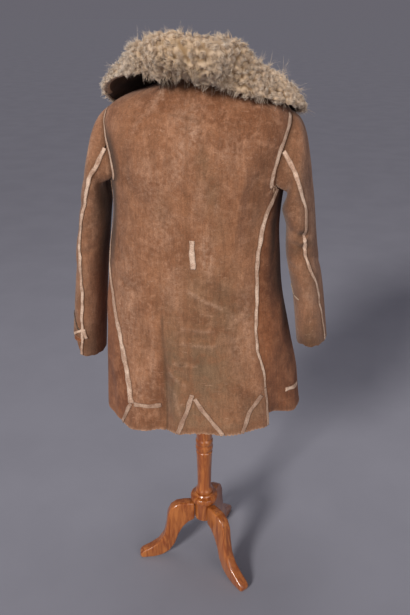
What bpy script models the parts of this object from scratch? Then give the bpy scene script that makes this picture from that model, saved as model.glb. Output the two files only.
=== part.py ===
"""Sheepskin coat with a fleece collar on a limbless dress form. Metres, +Z up, the coat's back faces -Y."""
import math

import bmesh
import bpy
import numpy as np
from mathutils import Vector
from mathutils.bvhtree import BVHTree

# Thicknesses and clearances
WALL = 0.003
COLLAR_WALL = 0.0025
SEAM_GAP = 0.0003
CUT_GAP = 0.0005
SLEEVE_GAP = 0.0009
STRIP_WALL = 0.0012
STRIP_WIDTH = 0.012
STRIP_LIFT = 0.0009
SLEEVE_STRIP_LIFT = 0.0014
STRIP_REACH = 0.005
STRIP_SINK = 0.0025
REST_GAP = 0.0009

# Heights of the coat above the floor
HEM = 0.583
LEFT_GUSSET_TOP = 0.655
GUSSET_TOP = 0.695
ARMHOLE_MIDDLE = 1.290
ARMHOLE_HALF = 0.082
NECK = 1.440

# The hem hangs lower on the left and is level again higher up
HEM_TILT = 0.018
TILT_END = 0.950

# Armhole half span to the back and to the front, and how far its foot lies to the back, in degrees
ARMHOLE_BACK = 9.0
ARMHOLE_FRONT = 26.0
ARMHOLE_FOOT = -16.0
# From the armhole's edge to the middle of its strip
ARMHOLE_EDGE = 0.0085
ARMHOLE_STRIP_WIDTH = 0.011

# Columns of a quarter of the grid
BACK_COLUMNS = 12
FRONT_COLUMNS = 13
SLEEVE_COLUMNS = 10
SLEEVE_ROWS = 17
COLLAR_COLUMNS = 42
COLLAR_ROWS = 8

SECTION_POWER = 2.3

# height, half width, depth to the back, depth to the front, sideways shift
COAT_SECTIONS = np.array([
    (0.555, 0.268, 0.188, 0.178, -0.008),
    (0.750, 0.250, 0.172, 0.162, -0.016),
    (0.970, 0.224, 0.150, 0.145, -0.026),
    (1.150, 0.207, 0.142, 0.138, -0.018),
    (1.250, 0.218, 0.142, 0.130, -0.014),
    (1.320, 0.226, 0.133, 0.112, -0.014),
    (1.355, 0.223, 0.123, 0.098, -0.013),
    (1.375, 0.211, 0.116, 0.088, -0.012),
    (1.390, 0.190, 0.109, 0.081, -0.010),
    (1.403, 0.161, 0.103, 0.075, -0.009),
    (1.417, 0.123, 0.096, 0.069, -0.006),
    (1.430, 0.088, 0.089, 0.063, -0.004),
    (1.440, 0.069, 0.080, 0.060, -0.003),
])

# angle at the foot, angle at the head, half span, depth (out is positive), lower end, upper end
COAT_FOLDS = (
    (231, 231, 19, 0.016, 0.30, 0.80),
    (251, 254, 14, -0.012, 0.30, 0.88),
    (265, 266, 13, 0.006, 0.30, 0.86),
    (303, 300, 20, 0.010, 0.30, 0.82),
    (338, 338, 15, -0.014, 0.30, 0.84),
    (361, 358, 16, 0.010, 0.30, 0.90),
    (320, 322, 9, -0.006, 1.00, 1.33),
    (206, 200, 10, -0.006, 0.30, 0.90),
    (30, 22, 14, -0.012, 0.30, 0.98),
    (55, 52, 14, 0.010, 0.30, 1.00),
    (122, 126, 14, 0.010, 0.30, 1.02),
    (150, 156, 14, -0.012, 0.30, 0.96),
)
FOLD_FADE = 0.14

# height and angle of the seams between the back and the side fronts, from the armhole to the gusset's top
LEFT_SEAM = np.array([
    (0.655, 229.0),
    (0.740, 222.0),
    (0.820, 216.0),
    (0.900, 208.5),
    (0.960, 202.0),
    (1.020, 196.5),
    (1.100, 193.5),
    (1.208, 196.0),
])
RIGHT_SEAM = np.array([
    (0.695, 328.5),
    (0.750, 328.0),
    (0.810, 325.5),
    (0.860, 326.0),
    (0.900, 328.0),
    (0.990, 330.0),
    (1.060, 331.5),
    (1.124, 335.0),
    (1.208, 344.0),
])

# height and angle of each gusset's two sides, hem first
LEFT_GUSSET_FRONT = ((0.583, 219.0), (0.655, 229.0))
LEFT_GUSSET_FOOT = 251.0
# The left gusset's top is level and spans this many of the back's columns
LEFT_GUSSET_COLUMNS = 5
RIGHT_GUSSET_BACK = ((0.583, 310.0), (0.645, 317.5), (0.695, 328.5))
RIGHT_GUSSET_FRONT = ((0.583, 328.5), (0.695, 328.5))
CENTRE_GUSSET_LEFT = ((0.583, 264.0), (0.695, 276.5))
CENTRE_GUSSET_RIGHT = ((0.583, 298.0), (0.695, 276.5))
CENTRE_ANGLE = 276.5

# height and angle of the right front's edge: hem, where the fronts part, the neck
FRONT_EDGE = np.array([
    (0.583, 85.0),
    (0.900, 87.5),
    (1.235, 88.6),
    (1.325, 64.0),
    (1.415, 45.0),
    (1.440, 37.0),
])

# share of the length, out from the middle, height, half across, half fore and aft, tilt in degrees,
# underside's set back
RIGHT_SLEEVE = np.array([
    (0.00, 0.206, 1.290, 0.0780, 0.062, 4, 0.050),
    (0.12, 0.214, 1.258, 0.0620, 0.065, 17, 0.036),
    (0.25, 0.227, 1.205, 0.0450, 0.079, 38, 0.026),
    (0.38, 0.237, 1.138, 0.0369, 0.081, 62, 0.010),
    (0.55, 0.246, 1.043, 0.0385, 0.078, 79, 0.000),
    (0.72, 0.265, 0.952, 0.0380, 0.073, 82, 0.000),
    (1.00, 0.286, 0.807, 0.0390, 0.066, 82, 0.000),
])
LEFT_SLEEVE = np.array([
    (0.00, 0.236, 1.290, 0.0780, 0.062, 3, 0.050),
    (0.12, 0.249, 1.258, 0.0640, 0.065, 11, 0.036),
    (0.25, 0.265, 1.203, 0.0460, 0.079, 29, 0.026),
    (0.38, 0.281, 1.133, 0.0330, 0.081, 62, 0.010),
    (0.55, 0.297, 1.023, 0.0340, 0.078, 77, 0.000),
    (0.75, 0.315, 0.875, 0.0382, 0.074, 79, 0.000),
    (1.00, 0.333, 0.713, 0.0440, 0.068, 77, 0.000),
])
SLEEVE_BLEND = 0.30
# smallest radius of a sleeve, and the share of its length where its seams are cut wider
SLEEVE_RADIUS = 0.036
SLEEVE_HEAD = 0.25
SLEEVE_RUN = 0.24
SLEEVE_FALL = 0.12

# share of the length, turn round the sleeve, half length, half turn, depth
RIGHT_SLEEVE_FOLDS = (
    (0.51, -88, 0.12, 60, -0.009),
    (0.39, -80, 0.10, 60, 0.003),
    (0.66, -70, 0.10, 60, 0.005),
    (0.48, 60, 0.10, 50, -0.006),
)
LEFT_SLEEVE_FOLDS = (
    (0.33, -95, 0.10, 60, -0.006),
    (0.56, -60, 0.10, 50, 0.004),
    (0.75, -100, 0.10, 60, -0.005),
    (0.50, 60, 0.10, 50, -0.006),
)

# share of the length and turn of the sleeves' back seam
RIGHT_SLEEVE_SEAM = np.array([
    (0.00, -90), (0.14, -96), (0.24, -78), (0.34, -61), (0.42, -62), (0.50, -67), (0.58, -62), (0.70, -46),
    (1.00, -26),
])
LEFT_SLEEVE_SEAM = np.array([
    (0.00, -90), (0.14, -108), (0.24, -98), (0.38, -82), (0.52, -74), (0.66, -86), (0.82, -92), (1.00, -94),
])

# angle at the neck, angle and height under the free edge, lift of the edge, stand, wool depth
COLLAR = np.array([
    (440.0, 417, 1.236, 0.007, 0.012, 0.018),
    (424.0, 398, 1.285, 0.009, 0.016, 0.022),
    (402.0, 377, 1.345, 0.011, 0.024, 0.026),
    (380.0, 365, 1.364, 0.015, 0.028, 0.030),
    (358.0, 353, 1.374, 0.020, 0.032, 0.034),
    (335.0, 340, 1.388, 0.018, 0.035, 0.031),
    (305.0, 310, 1.414, 0.034, 0.076, 0.032),
    (270.0, 270, 1.431, 0.050, 0.098, 0.033),
    (235.0, 230, 1.419, 0.054, 0.072, 0.032),
    (205.0, 204, 1.400, 0.052, 0.047, 0.028),
    (182.0, 186, 1.384, 0.032, 0.036, 0.025),
    (160.0, 174, 1.372, 0.021, 0.030, 0.024),
    (138.0, 162, 1.350, 0.018, 0.024, 0.024),
    (116.0, 142, 1.285, 0.010, 0.016, 0.022),
    (100.0, 123, 1.236, 0.007, 0.012, 0.018),
])
COLLAR_GAP = 0.0014
WOOL_OVERHANG = 0.008
WOOL_LUMP = 0.005

# height, half width, depth to the back, depth to the front of the torso up to the shoulders
TORSO_SECTIONS = (
    (0.735, 0.120, 0.080, 0.076),
    (0.745, 0.150, 0.105, 0.100),
    (0.790, 0.168, 0.118, 0.112),
    (0.880, 0.162, 0.116, 0.112),
    (0.980, 0.138, 0.100, 0.098),
    (1.080, 0.142, 0.106, 0.108),
    (1.180, 0.158, 0.116, 0.116),
    (1.270, 0.172, 0.116, 0.106),
    (1.330, 0.184, 0.106, 0.086),
    (1.358, 0.190, 0.096, 0.072),
)
# height on the coat and clearance under it
TORSO_SHOULDER = (
    (1.388, 0.0040),
    (1.400, REST_GAP),
    (1.415, REST_GAP),
    (1.428, REST_GAP),
)
# height and radius
TORSO_NECK = (
    (1.432, 0.064),
    (1.440, 0.052),
    (1.470, 0.049),
    (1.478, 0.044),
)
TORSO_COLUMNS = 32

# radius and height of the turned post and hub
POST_PROFILE = (
    (0.0, 0.2403), (0.0230, 0.2403), (0.0262, 0.2450), (0.0262, 0.2520), (0.0225, 0.2580), (0.0202, 0.2660),
    (0.0212, 0.3200), (0.0235, 0.3850), (0.0245, 0.3920), (0.0215, 0.3960), (0.0255, 0.4030), (0.0260, 0.4120),
    (0.0230, 0.4190), (0.0255, 0.4250), (0.0255, 0.4340), (0.0220, 0.4400), (0.0235, 0.4470), (0.0235, 0.7347),
    (0.0, 0.7347),
)
HUB_PROFILE = (
    (0.0, 0.1400), (0.0240, 0.1400), (0.0302, 0.1470), (0.0310, 0.2120), (0.0415, 0.2150), (0.0425, 0.2240),
    (0.0400, 0.2310), (0.0300, 0.2350), (0.0270, 0.2400), (0.0, 0.2400),
)
TURNED_STEPS = 20

# distance from the post's middle and height round a leg's outline
LEG_OUTLINE = (
    (0.0313, 0.2050), (0.0600, 0.2070), (0.0850, 0.2045), (0.1030, 0.1920), (0.1140, 0.1680), (0.1190, 0.1250),
    (0.1270, 0.0860), (0.1450, 0.0570), (0.1720, 0.0380), (0.1960, 0.0260), (0.2060, 0.0160), (0.2040, 0.0050),
    (0.1980, 0.0), (0.1600, 0.0), (0.1350, 0.0060), (0.1110, 0.0220), (0.0930, 0.0500), (0.0820, 0.0860),
    (0.0670, 0.1150), (0.0500, 0.1330), (0.0313, 0.1420),
)
LEG_THICK = 0.030
LEG_ROUND = 0.005
LEG_ANGLES = (198.4, 318.4, 78.4)

for old in list(bpy.data.objects):
    bpy.data.objects.remove(old, do_unlink=True)
coat_set = bpy.data.collections.new("sheepskin_coat_on_dress_form")
bpy.context.scene.collection.children.link(coat_set)
root = bpy.data.objects.new("coat_root", None)
coat_set.objects.link(root)


def make_material(name, colour, roughness):
    """One Principled material for one sub-part."""
    material = bpy.data.materials.new(name)
    material.use_nodes = True
    shader = material.node_tree.nodes["Principled BSDF"]
    shader.inputs["Base Color"].default_value = (*colour, 1.0)
    shader.inputs["Roughness"].default_value = roughness
    return material


def keep_mesh(name, shape, colour, roughness=0.8):
    """Turn a finished bmesh into a named object under the root."""
    bmesh.ops.recalc_face_normals(shape, faces=shape.faces[:])
    if shape.calc_volume(signed=True) < 0:
        bmesh.ops.reverse_faces(shape, faces=shape.faces[:])
    mesh = bpy.data.meshes.new(name)
    shape.to_mesh(mesh)
    shape.free()
    piece = bpy.data.objects.new(name, mesh)
    piece.data.materials.append(make_material(name, colour, roughness))
    coat_set.objects.link(piece)
    piece.parent = root
    return piece


def smooth(knots, values, at):
    """Value on the smooth line through the knots, which goes on past both ends."""
    knots = np.asarray(knots, float)
    values = np.asarray(values, float)
    slopes = np.gradient(values, knots)
    at = np.asarray(at, float)
    place = np.clip(np.searchsorted(knots, at) - 1, 0, len(knots) - 2)
    span = knots[place + 1] - knots[place]
    t = (at - knots[place]) / span
    level = values[place] * (1 + 2 * t) * (1 - t) ** 2 + values[place + 1] * t * t * (3 - 2 * t)
    lean = slopes[place] * t * (1 - t) ** 2 - slopes[place + 1] * t * t * (1 - t)
    return level + lean * span


def ease(t):
    t = np.clip(t, 0.0, 1.0)
    return t * t * (3 - 2 * t)


def turn_between(angle, middle):
    return (angle - middle + 180.0) % 360.0 - 180.0


def fold_depth(angle, height):
    """How far the coat's folds stand out from its plain section."""
    total = np.zeros(np.broadcast(angle, height).shape)
    for foot, head, half_span, depth, low, high in COAT_FOLDS:
        middle = foot + (head - foot) * np.clip((height - HEM) / max(high - HEM, 0.1), 0, 1)
        across = np.clip(turn_between(angle, middle) / half_span, -1, 1)
        along = ease((height - low) / FOLD_FADE) * ease((high - height) / (1.6 * FOLD_FADE))
        total = total + depth * np.cos(across * math.pi / 2) ** 2 * along
    return total


def plain_coat(angle, height):
    """Point on the coat's outer face, from its sections and folds."""
    angle = np.asarray(angle, float)
    height = np.asarray(height, float)
    sizes = [smooth(COAT_SECTIONS[:, 0], COAT_SECTIONS[:, k], height) for k in range(1, 5)]
    half_width, back, front, shift = sizes
    cosine = np.cos(np.radians(angle))
    sine = np.sin(np.radians(angle))
    depth = np.where(sine < 0, back, front)
    radius = (np.abs(cosine / half_width) ** SECTION_POWER + np.abs(sine / depth) ** SECTION_POWER)
    radius = radius ** (-1 / SECTION_POWER) + fold_depth(angle, height)
    level = height + HEM_TILT * cosine * ease((TILT_END - height) / (TILT_END - HEM))
    return np.stack([shift + radius * cosine, radius * sine, level], -1)


def moved_out(surface, first, second, out, first_step, second_step):
    """Point of a surface moved out along its normal."""
    along_first = surface(first + first_step, second) - surface(first - first_step, second)
    along_second = surface(first, second + second_step) - surface(first, second - second_step)
    normal = np.cross(along_first, along_second)
    normal = normal / np.linalg.norm(normal, axis=-1, keepdims=True)
    return surface(first, second) + normal * np.asarray(out, float)[..., None], normal


def coat_point(angle, height, out=0.0):
    return moved_out(plain_coat, angle, height, out, 0.5, 0.002)[0]


def wrap_sheet(name, bands, place, colour):
    """Flat grids, joined where they meet, thickened and laid on a form."""
    shape = bmesh.new()
    for left, right, columns, rows in bands:
        last = len(rows) - 1
        grid = bmesh.ops.create_grid(shape, x_segments=columns, y_segments=last, size=0.5)
        for vert in grid["verts"]:
            height = rows[round((vert.co.y + 0.5) * last)]
            share = vert.co.x + 0.5
            vert.co = (left(height) + (right(height) - left(height)) * share, height, 0.0)
    bmesh.ops.remove_doubles(shape, verts=shape.verts[:], dist=0.001)
    thick = bmesh.ops.extrude_face_region(shape, geom=shape.faces[:])
    upper = [item for item in thick["geom"] if isinstance(item, bmesh.types.BMVert)]
    bmesh.ops.translate(shape, verts=upper, vec=(0, 0, 1))
    flat = np.array([vert.co[:] for vert in shape.verts])
    laid = place(flat[:, 0], flat[:, 1], flat[:, 2])
    for vert, point in zip(shape.verts, laid):
        vert.co = point
    return keep_mesh(name, shape, colour)


def on_coat(angle, height, layer):
    return coat_point(angle, height, WALL * (layer - 1.0))


def straight(points):
    """Edge line through height and angle points."""
    heights = [point[0] for point in points]
    angles = [point[1] for point in points]
    return lambda height: float(np.interp(height, heights, angles))


# Turns round the armhole, even round the sleeve but closer at its front and back
half_turns = np.linspace(0, 1, SLEEVE_COLUMNS + 1)
sleeve_turns = -90 + 180 * (half_turns - 0.5 * np.sin(2 * math.pi * half_turns) / (2 * math.pi))
ARMHOLE_TOP = ARMHOLE_MIDDLE + ARMHOLE_HALF
ARMPIT = ARMHOLE_MIDDLE - ARMHOLE_HALF


def armhole_offset(turn):
    """Angle of the armhole's edge from the side of the body, front positive."""
    turn = np.radians(turn)
    span = np.where(np.sin(turn) < 0, ARMHOLE_BACK, ARMHOLE_FRONT)
    return span * np.sin(turn) + ARMHOLE_FOOT * (1 - np.cos(turn)) / 2


def armhole_turn(height):
    return math.degrees(math.acos(min(1.0, max(-1.0, (height - ARMHOLE_MIDDLE) / ARMHOLE_HALF))))


upper_turns = sleeve_turns[SLEEVE_COLUMNS // 2:]
armhole_turns = np.concatenate([upper_turns, 180 - upper_turns[-2::-1]])
armhole_rows = [ARMHOLE_MIDDLE + ARMHOLE_HALF * math.cos(math.radians(turn)) for turn in armhole_turns][::-1]
body_rows = list(np.linspace(HEM, 0.637, 3)) + [0.646, LEFT_GUSSET_TOP, 0.675, GUSSET_TOP]
body_rows += list(np.linspace(GUSSET_TOP, ARMPIT, 11))[1:-1] + armhole_rows
body_rows += [1.388, 1.400, 1.415, 1.428, NECK]
body_rows = [float(height) for height in body_rows]


def seam_half(angle, height):
    """Half of a seam's gap as an angle."""
    point = plain_coat(angle, height)
    return math.degrees(CUT_GAP / 2 / float(np.hypot(point[0], point[1])))


def opened(line, side):
    """Edge line moved back from the seam by half of the gap; side 1 is to higher angles."""
    return lambda height: line(height) + side * seam_half(line(height), height)


def side_line(seam, gusset, armhole_side, middle):
    """Edge of a panel from hem to neck: gusset, seam, armhole, shoulder."""
    gusset_line = straight(gusset)
    top = gusset[-1][0]

    def line(height):
        if height < top - 0.0001:
            return gusset_line(height)
        if height < ARMPIT - 0.0001:
            return float(smooth(seam[:, 0], seam[:, 1], height))
        if height < ARMHOLE_TOP - 0.0001:
            turn = armhole_turn(height)
            offset = float(armhole_offset(armhole_side * turn))
            return middle + (offset if middle > 270 else -offset)
        return middle

    return line


back_right_line = side_line(RIGHT_SEAM, RIGHT_GUSSET_BACK, -1, 360.0)
front_right_line = side_line(RIGHT_SEAM, RIGHT_GUSSET_FRONT, 1, 360.0)
back_left_line = side_line(LEFT_SEAM, LEFT_GUSSET_FRONT, -1, 180.0)
front_left_line = side_line(LEFT_SEAM, LEFT_GUSSET_FRONT, 1, 180.0)
front_edge_line = straight(FRONT_EDGE)
centre_line = straight(((HEM, CENTRE_ANGLE), (GUSSET_TOP, CENTRE_ANGLE), (NECK, 270.0)))


def centre_side(gusset, side):
    gusset_line = straight(gusset)

    def line(height):
        if height > GUSSET_TOP - 0.0001:
            return centre_line(height)
        return gusset_line(height) + side * seam_half(gusset_line(height), height)

    return line


def right_front_edge(height):
    return 360.0 + front_edge_line(height)


def left_front_edge(height):
    return 180.0 - front_edge_line(height)


SUEDE = (0.36, 0.18, 0.10)
SIDE_SUEDE = (0.30, 0.13, 0.07)
PALE = (0.60, 0.42, 0.31)

upper_left = opened(back_left_line, 1)(LEFT_GUSSET_TOP)
upper_right = centre_side(CENTRE_GUSSET_LEFT, -1)(LEFT_GUSSET_TOP)
notch_corner = upper_left + (upper_right - upper_left) * LEFT_GUSSET_COLUMNS / BACK_COLUMNS
LEFT_GUSSET_BACK = ((HEM, LEFT_GUSSET_FOOT), (LEFT_GUSSET_TOP, notch_corner))
low_rows = [height for height in body_rows if height < LEFT_GUSSET_TOP + 0.0001]
high_rows = [height for height in body_rows if height > LEFT_GUSSET_TOP - 0.0001]
low_columns = BACK_COLUMNS - LEFT_GUSSET_COLUMNS
wrap_sheet("back", (
    (opened(back_left_line, 1), centre_side(CENTRE_GUSSET_LEFT, -1), BACK_COLUMNS, high_rows),
    (straight(LEFT_GUSSET_BACK), centre_side(CENTRE_GUSSET_LEFT, -1), low_columns, low_rows),
    (centre_side(CENTRE_GUSSET_RIGHT, 1), opened(back_right_line, -1), BACK_COLUMNS, body_rows),
), on_coat, SUEDE)
wrap_sheet("front_right", (
    (opened(front_right_line, 1), right_front_edge, FRONT_COLUMNS, body_rows),
), on_coat, SIDE_SUEDE)
wrap_sheet("front_left", (
    (left_front_edge, opened(front_left_line, -1), FRONT_COLUMNS, body_rows),
), on_coat, SIDE_SUEDE)


def gusset_piece(name, left, right, top, columns, under):
    """Piece let into the hem between two lines, ending under the notch's top by a share of the last row."""
    rows = [height for height in body_rows if height < top - 0.0001]
    rows.append(top - under * (top - rows[-1]))
    left_line = opened(straight(left), 1)
    right_line = opened(straight(right), -1)
    wrap_sheet(name, ((left_line, right_line, columns, rows),), on_coat, SUEDE)


gusset_piece("gusset_back_left", LEFT_GUSSET_FRONT, LEFT_GUSSET_BACK, LEFT_GUSSET_TOP, 6, 0.055)
gusset_piece("gusset_back_centre", CENTRE_GUSSET_LEFT, CENTRE_GUSSET_RIGHT, GUSSET_TOP, 6, 0.35)
gusset_piece("gusset_back_right", RIGHT_GUSSET_BACK, RIGHT_GUSSET_FRONT, GUSSET_TOP, 4, 0.35)


def sleeve_surface(stations, folds, side):
    """Outer face of a sleeve: turn round it and share of its length. Side is 1 on the right, -1 on the left."""
    middle = 360.0 if side > 0 else 180.0

    def surface(turn, share):
        turn = np.asarray(turn, float)
        share = np.asarray(share, float)
        sizes = [smooth(stations[:, 0], stations[:, k], share) for k in range(1, 7)]
        out, height, across, fore, tilt, foot = sizes
        cosine = np.cos(np.radians(turn))
        sine = np.sin(np.radians(turn))
        lean = np.radians(tilt)
        deep = np.zeros(np.broadcast(turn, share).shape)
        for place, round_turn, half_length, half_turn, depth in folds:
            along = np.clip((share - place) / half_length, -1, 1)
            around = np.clip(turn_between(turn, round_turn) / half_turn, -1, 1)
            deep = deep + depth * np.cos(along * math.pi / 2) ** 2 * np.cos(around * math.pi / 2) ** 2
        reach = (across + deep) * cosine
        ring = np.stack([
            side * (out + reach * np.sin(lean)),
            (fore + deep) * sine - foot * (1 - cosine) / 2,
            height + reach * np.cos(lean),
        ], -1)
        inner = armhole_offset(turn) * (1 - SEAM_GAP / 0.05)
        angle = middle + inner if side > 0 else middle - inner
        start = plain_coat(angle, ARMHOLE_MIDDLE + (ARMHOLE_HALF - SEAM_GAP) * cosine)
        start = start + np.stack([side * SLEEVE_RUN * share, 0 * share, -SLEEVE_FALL * share], -1)
        return start + (ring - start) * ease(share / SLEEVE_BLEND)[..., None]

    return surface


def sleeve_layer(surface, side):
    def laid(turn, share, out):
        return moved_out(surface, turn, share, np.asarray(out) * -side, 1.0, 0.004)[0]
    return laid


right_sleeve = sleeve_layer(sleeve_surface(RIGHT_SLEEVE, RIGHT_SLEEVE_FOLDS, 1), 1)
left_sleeve = sleeve_layer(sleeve_surface(LEFT_SLEEVE, LEFT_SLEEVE_FOLDS, -1), -1)
sleeve_rows = np.concatenate([[0.0, 0.035, 0.075], np.linspace(0.12, 1.0, SLEEVE_ROWS - 2)])


def sleeve_half(name, laid, seam, upper):
    """One half of a sleeve, round its outside (upper) or its inside (under)."""
    def place(across, along, layer):
        start = smooth(seam[:, 0], seam[:, 1], along)
        place_turn = np.interp(across, half_turns, sleeve_turns)
        share = (place_turn + 90) / 180
        turn = start + (90 - start) * share if upper else 90 + (270 + (start + 90) - 90) * share
        gap = np.degrees(SLEEVE_GAP / 2 / SLEEVE_RADIUS) * (1 + ease((SLEEVE_HEAD - along) / 0.15))
        turn = turn + gap * (across < 0.001) - gap * (across > 0.999)
        return laid(turn, along, WALL * (layer - 1.0))

    band = (lambda share: 0.0, lambda share: 1.0, SLEEVE_COLUMNS, list(sleeve_rows))
    wrap_sheet(name, (band,), place, SUEDE)


sleeve_half("sleeve_right_upper", right_sleeve, RIGHT_SLEEVE_SEAM, True)
sleeve_half("sleeve_right_under", right_sleeve, RIGHT_SLEEVE_SEAM, False)
sleeve_half("sleeve_left_upper", left_sleeve, LEFT_SLEEVE_SEAM, True)
sleeve_half("sleeve_left_under", left_sleeve, LEFT_SLEEVE_SEAM, False)


def collar_leaf(along, across):
    """Leather side of the collar: along it from right to left, across it from the neck to the free edge."""
    knots = np.linspace(0, 1, len(COLLAR))
    neck_angle, edge_angle, edge_height, lift, stand = (smooth(knots, COLLAR[:, k], along) for k in range(5))
    right = neck_angle > 270
    turn = np.where(right, neck_angle - 360, 180 - neck_angle)
    neck_height = np.interp(turn, FRONT_EDGE[:1:-1, 1], FRONT_EDGE[:1:-1, 0])
    on_front = np.clip((turn - FRONT_EDGE[-1, 1]) / 3, 0, 1)
    turn = turn + np.degrees(COLLAR_GAP / 0.075) * on_front
    neck_angle = np.where(right, 360 + turn, 180 - turn)
    neck_height = neck_height + COLLAR_GAP / 2 * (1 - on_front)
    foot, normal = moved_out(plain_coat, neck_angle, neck_height, np.zeros_like(neck_angle), 0.5, 0.002)
    edge = moved_out(plain_coat, edge_angle, edge_height, lift, 0.5, 0.002)[0]
    rise = normal * np.asarray(stand)[..., None]
    inner = foot + rise * 1.33
    outer = edge + (foot - edge) * 0.3 + rise * 0.95
    t = np.asarray(across, float)[..., None]
    near = foot * (1 - t) ** 3 + inner * 3 * t * (1 - t) ** 2
    return near + outer * 3 * t * t * (1 - t) + edge * t ** 3


def collar_point(along, across, out):
    return moved_out(collar_leaf, along, across, out, 0.004, 0.01)[0]


def on_collar(across, along, layer):
    return collar_point(along, across, COLLAR_WALL * layer)


def on_wool(across, along, layer):
    """The wool lies on the skin and rolls over its free edge."""
    knots = np.linspace(0, 1, len(COLLAR))
    depth = smooth(knots, COLLAR[:, 5], along) * (0.30 + 0.70 * ease(across / 0.45))
    lump = np.sin(41 * along + 5 * across) * np.cos(9 * across + 17 * along)
    lump = lump + 0.6 * np.sin(83 * along - 7 * across)
    depth = depth + WOOL_LUMP * lump * ease(across / 0.5)
    end_round = 1 - 0.45 * ease((across - 0.75) / 0.25)
    out = COLLAR_WALL + SEAM_GAP + layer * depth * end_round
    point = collar_point(along, across, out)
    over = collar_point(along, across, out) - collar_point(along, across - 0.02, out)
    over = over / np.linalg.norm(over, axis=-1, keepdims=True)
    hang = WOOL_OVERHANG * layer * ease((across - 0.6) / 0.4)
    return point + over * hang[..., None]


collar_steps = np.linspace(0.0, 1.0, COLLAR_COLUMNS + 1)
# A column stands at each corner between the neck and the fronts' edges
fine_steps = np.linspace(0.0, 1.0, 2001)
fine_angles = smooth(np.linspace(0, 1, len(COLLAR)), COLLAR[:, 0], fine_steps)
for corner_angle in (360 + FRONT_EDGE[-1, 1], 180 - FRONT_EDGE[-1, 1]):
    corner_step = np.interp(-corner_angle, -fine_angles, fine_steps)
    collar_steps[np.argmin(np.abs(collar_steps - corner_step))] = corner_step
collar_steps = [float(step) for step in collar_steps]
first_wool = 1 / COLLAR_ROWS
wrap_sheet("collar_skin", ((lambda v: 0.0, lambda v: 1.0, COLLAR_ROWS, collar_steps),), on_collar,
           (0.02, 0.012, 0.008))
wrap_sheet("collar_fleece", ((lambda v: first_wool, lambda v: 1.0, COLLAR_ROWS - 1, collar_steps),), on_wool,
           (0.62, 0.54, 0.42))


corners = []
faces = []
for piece in list(coat_set.objects):
    if piece.name.startswith(("back", "front", "gusset", "sleeve")):
        first_corner = len(corners)
        corners += [vert.co.copy() for vert in piece.data.vertices]
        faces += [[first_corner + k for k in face.vertices] for face in piece.data.polygons]
panels = BVHTree.FromPolygons(corners, faces)


def on_panels(point, normal):
    """Place of the panels' outer faces under a point of the smooth form; over a seam's gap, the point itself."""
    start = Vector(point + normal * STRIP_REACH)
    hit = panels.ray_cast(start, Vector(-normal), 2 * STRIP_REACH)[0]
    if hit is None or (hit - Vector(point)).length > STRIP_SINK:
        return point
    return np.array(hit)


def strip_on(name, laid, first, second, width=STRIP_WIDTH, level=True, lift=STRIP_LIFT):
    """Leather strip along a path, made from the panels' faces; a level one has its rows at the panels' rows."""
    first = np.asarray(first, float)
    second = np.asarray(second, float)
    none = np.zeros_like(first)
    points = laid(first, second, none)
    run = np.gradient(points, axis=0)
    run = run / np.linalg.norm(run, axis=-1, keepdims=True)
    by_first = laid(first + 0.5, second, none) - laid(first - 0.5, second, none)
    by_second = (laid(first, second + 0.002, none) - laid(first, second - 0.002, none)) / 0.004
    sideways = np.cross(run, laid(first, second, none + 0.001) - points)
    sideways = sideways / np.linalg.norm(sideways, axis=-1, keepdims=True)
    steps = []
    for one, two, aim in zip(by_first, by_second, sideways):
        if level:
            steps.append((1 / np.dot(one, aim), 0.0))
        else:
            steps.append(np.linalg.lstsq(np.stack([one, two], -1), aim, rcond=None)[0])
    steps = np.array(steps)

    def place(across, along, layer):
        row = np.round(along).astype(int)
        shift = across * width
        one = first[row] + steps[row, 0] * shift
        two = second[row] + steps[row, 1] * shift
        face = laid(one, two, np.zeros_like(one))
        normal = (laid(one, two, np.full_like(one, 0.001)) - face) / 0.001
        out = lift + STRIP_WALL * layer
        rest = np.array([on_panels(spot, way) for spot, way in zip(face, normal)])
        return rest + normal * out[:, None]

    rows = [float(row) for row in range(len(first))]
    wrap_sheet(name, ((lambda v: -0.5, lambda v: 0.5, 2, rows),), place, PALE)


def rows_between(low, high):
    """The panels' rows between two heights, with the heights themselves."""
    inner = [height for height in body_rows if low + 0.005 < height < high - 0.005]
    return [low] + inner + [high]


def seam_strip(name, line, low, high):
    rows = rows_between(low, high)
    strip_on(name, coat_point, [line(height) for height in rows], rows)


def line_strip(name, points, steps, width=STRIP_WIDTH):
    """Strip through angle and height points, in even steps."""
    points = np.asarray(points, float)
    knots = np.linspace(0, 1, len(points))
    at = np.linspace(0, 1, steps + 1)
    first = np.interp(at, knots, points[:, 0])
    second = np.interp(at, knots, points[:, 1])
    strip_on(name, coat_point, first, second, width, False)


seam_strip("strip_back_left", back_left_line, 0.664, ARMPIT - 0.012)
seam_strip("strip_back_right", back_right_line, 0.702, ARMPIT - 0.012)
seam_strip("strip_gusset_left_front", straight(LEFT_GUSSET_FRONT), HEM + 0.001, 0.640)
line_strip("strip_gusset_left_back", ((233.5, LEFT_GUSSET_TOP), (notch_corner, LEFT_GUSSET_TOP)), 8)
seam_strip("strip_gusset_centre_left", straight(CENTRE_GUSSET_LEFT), HEM + 0.001, 0.694)
seam_strip("strip_gusset_centre_right", straight(CENTRE_GUSSET_RIGHT), HEM + 0.001, 0.672)
seam_strip("strip_gusset_right_back", straight(RIGHT_GUSSET_BACK), HEM + 0.001, 0.671)
seam_strip("strip_gusset_right_front", straight(RIGHT_GUSSET_FRONT), HEM + 0.001, 0.692)
line_strip("strip_side_right", ((346.0, 0.656), (357.0, 0.650)), 8)
line_strip("patch_back", ((279.0, 1.094), (280.8, 1.024)), 4, 0.014)


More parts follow.
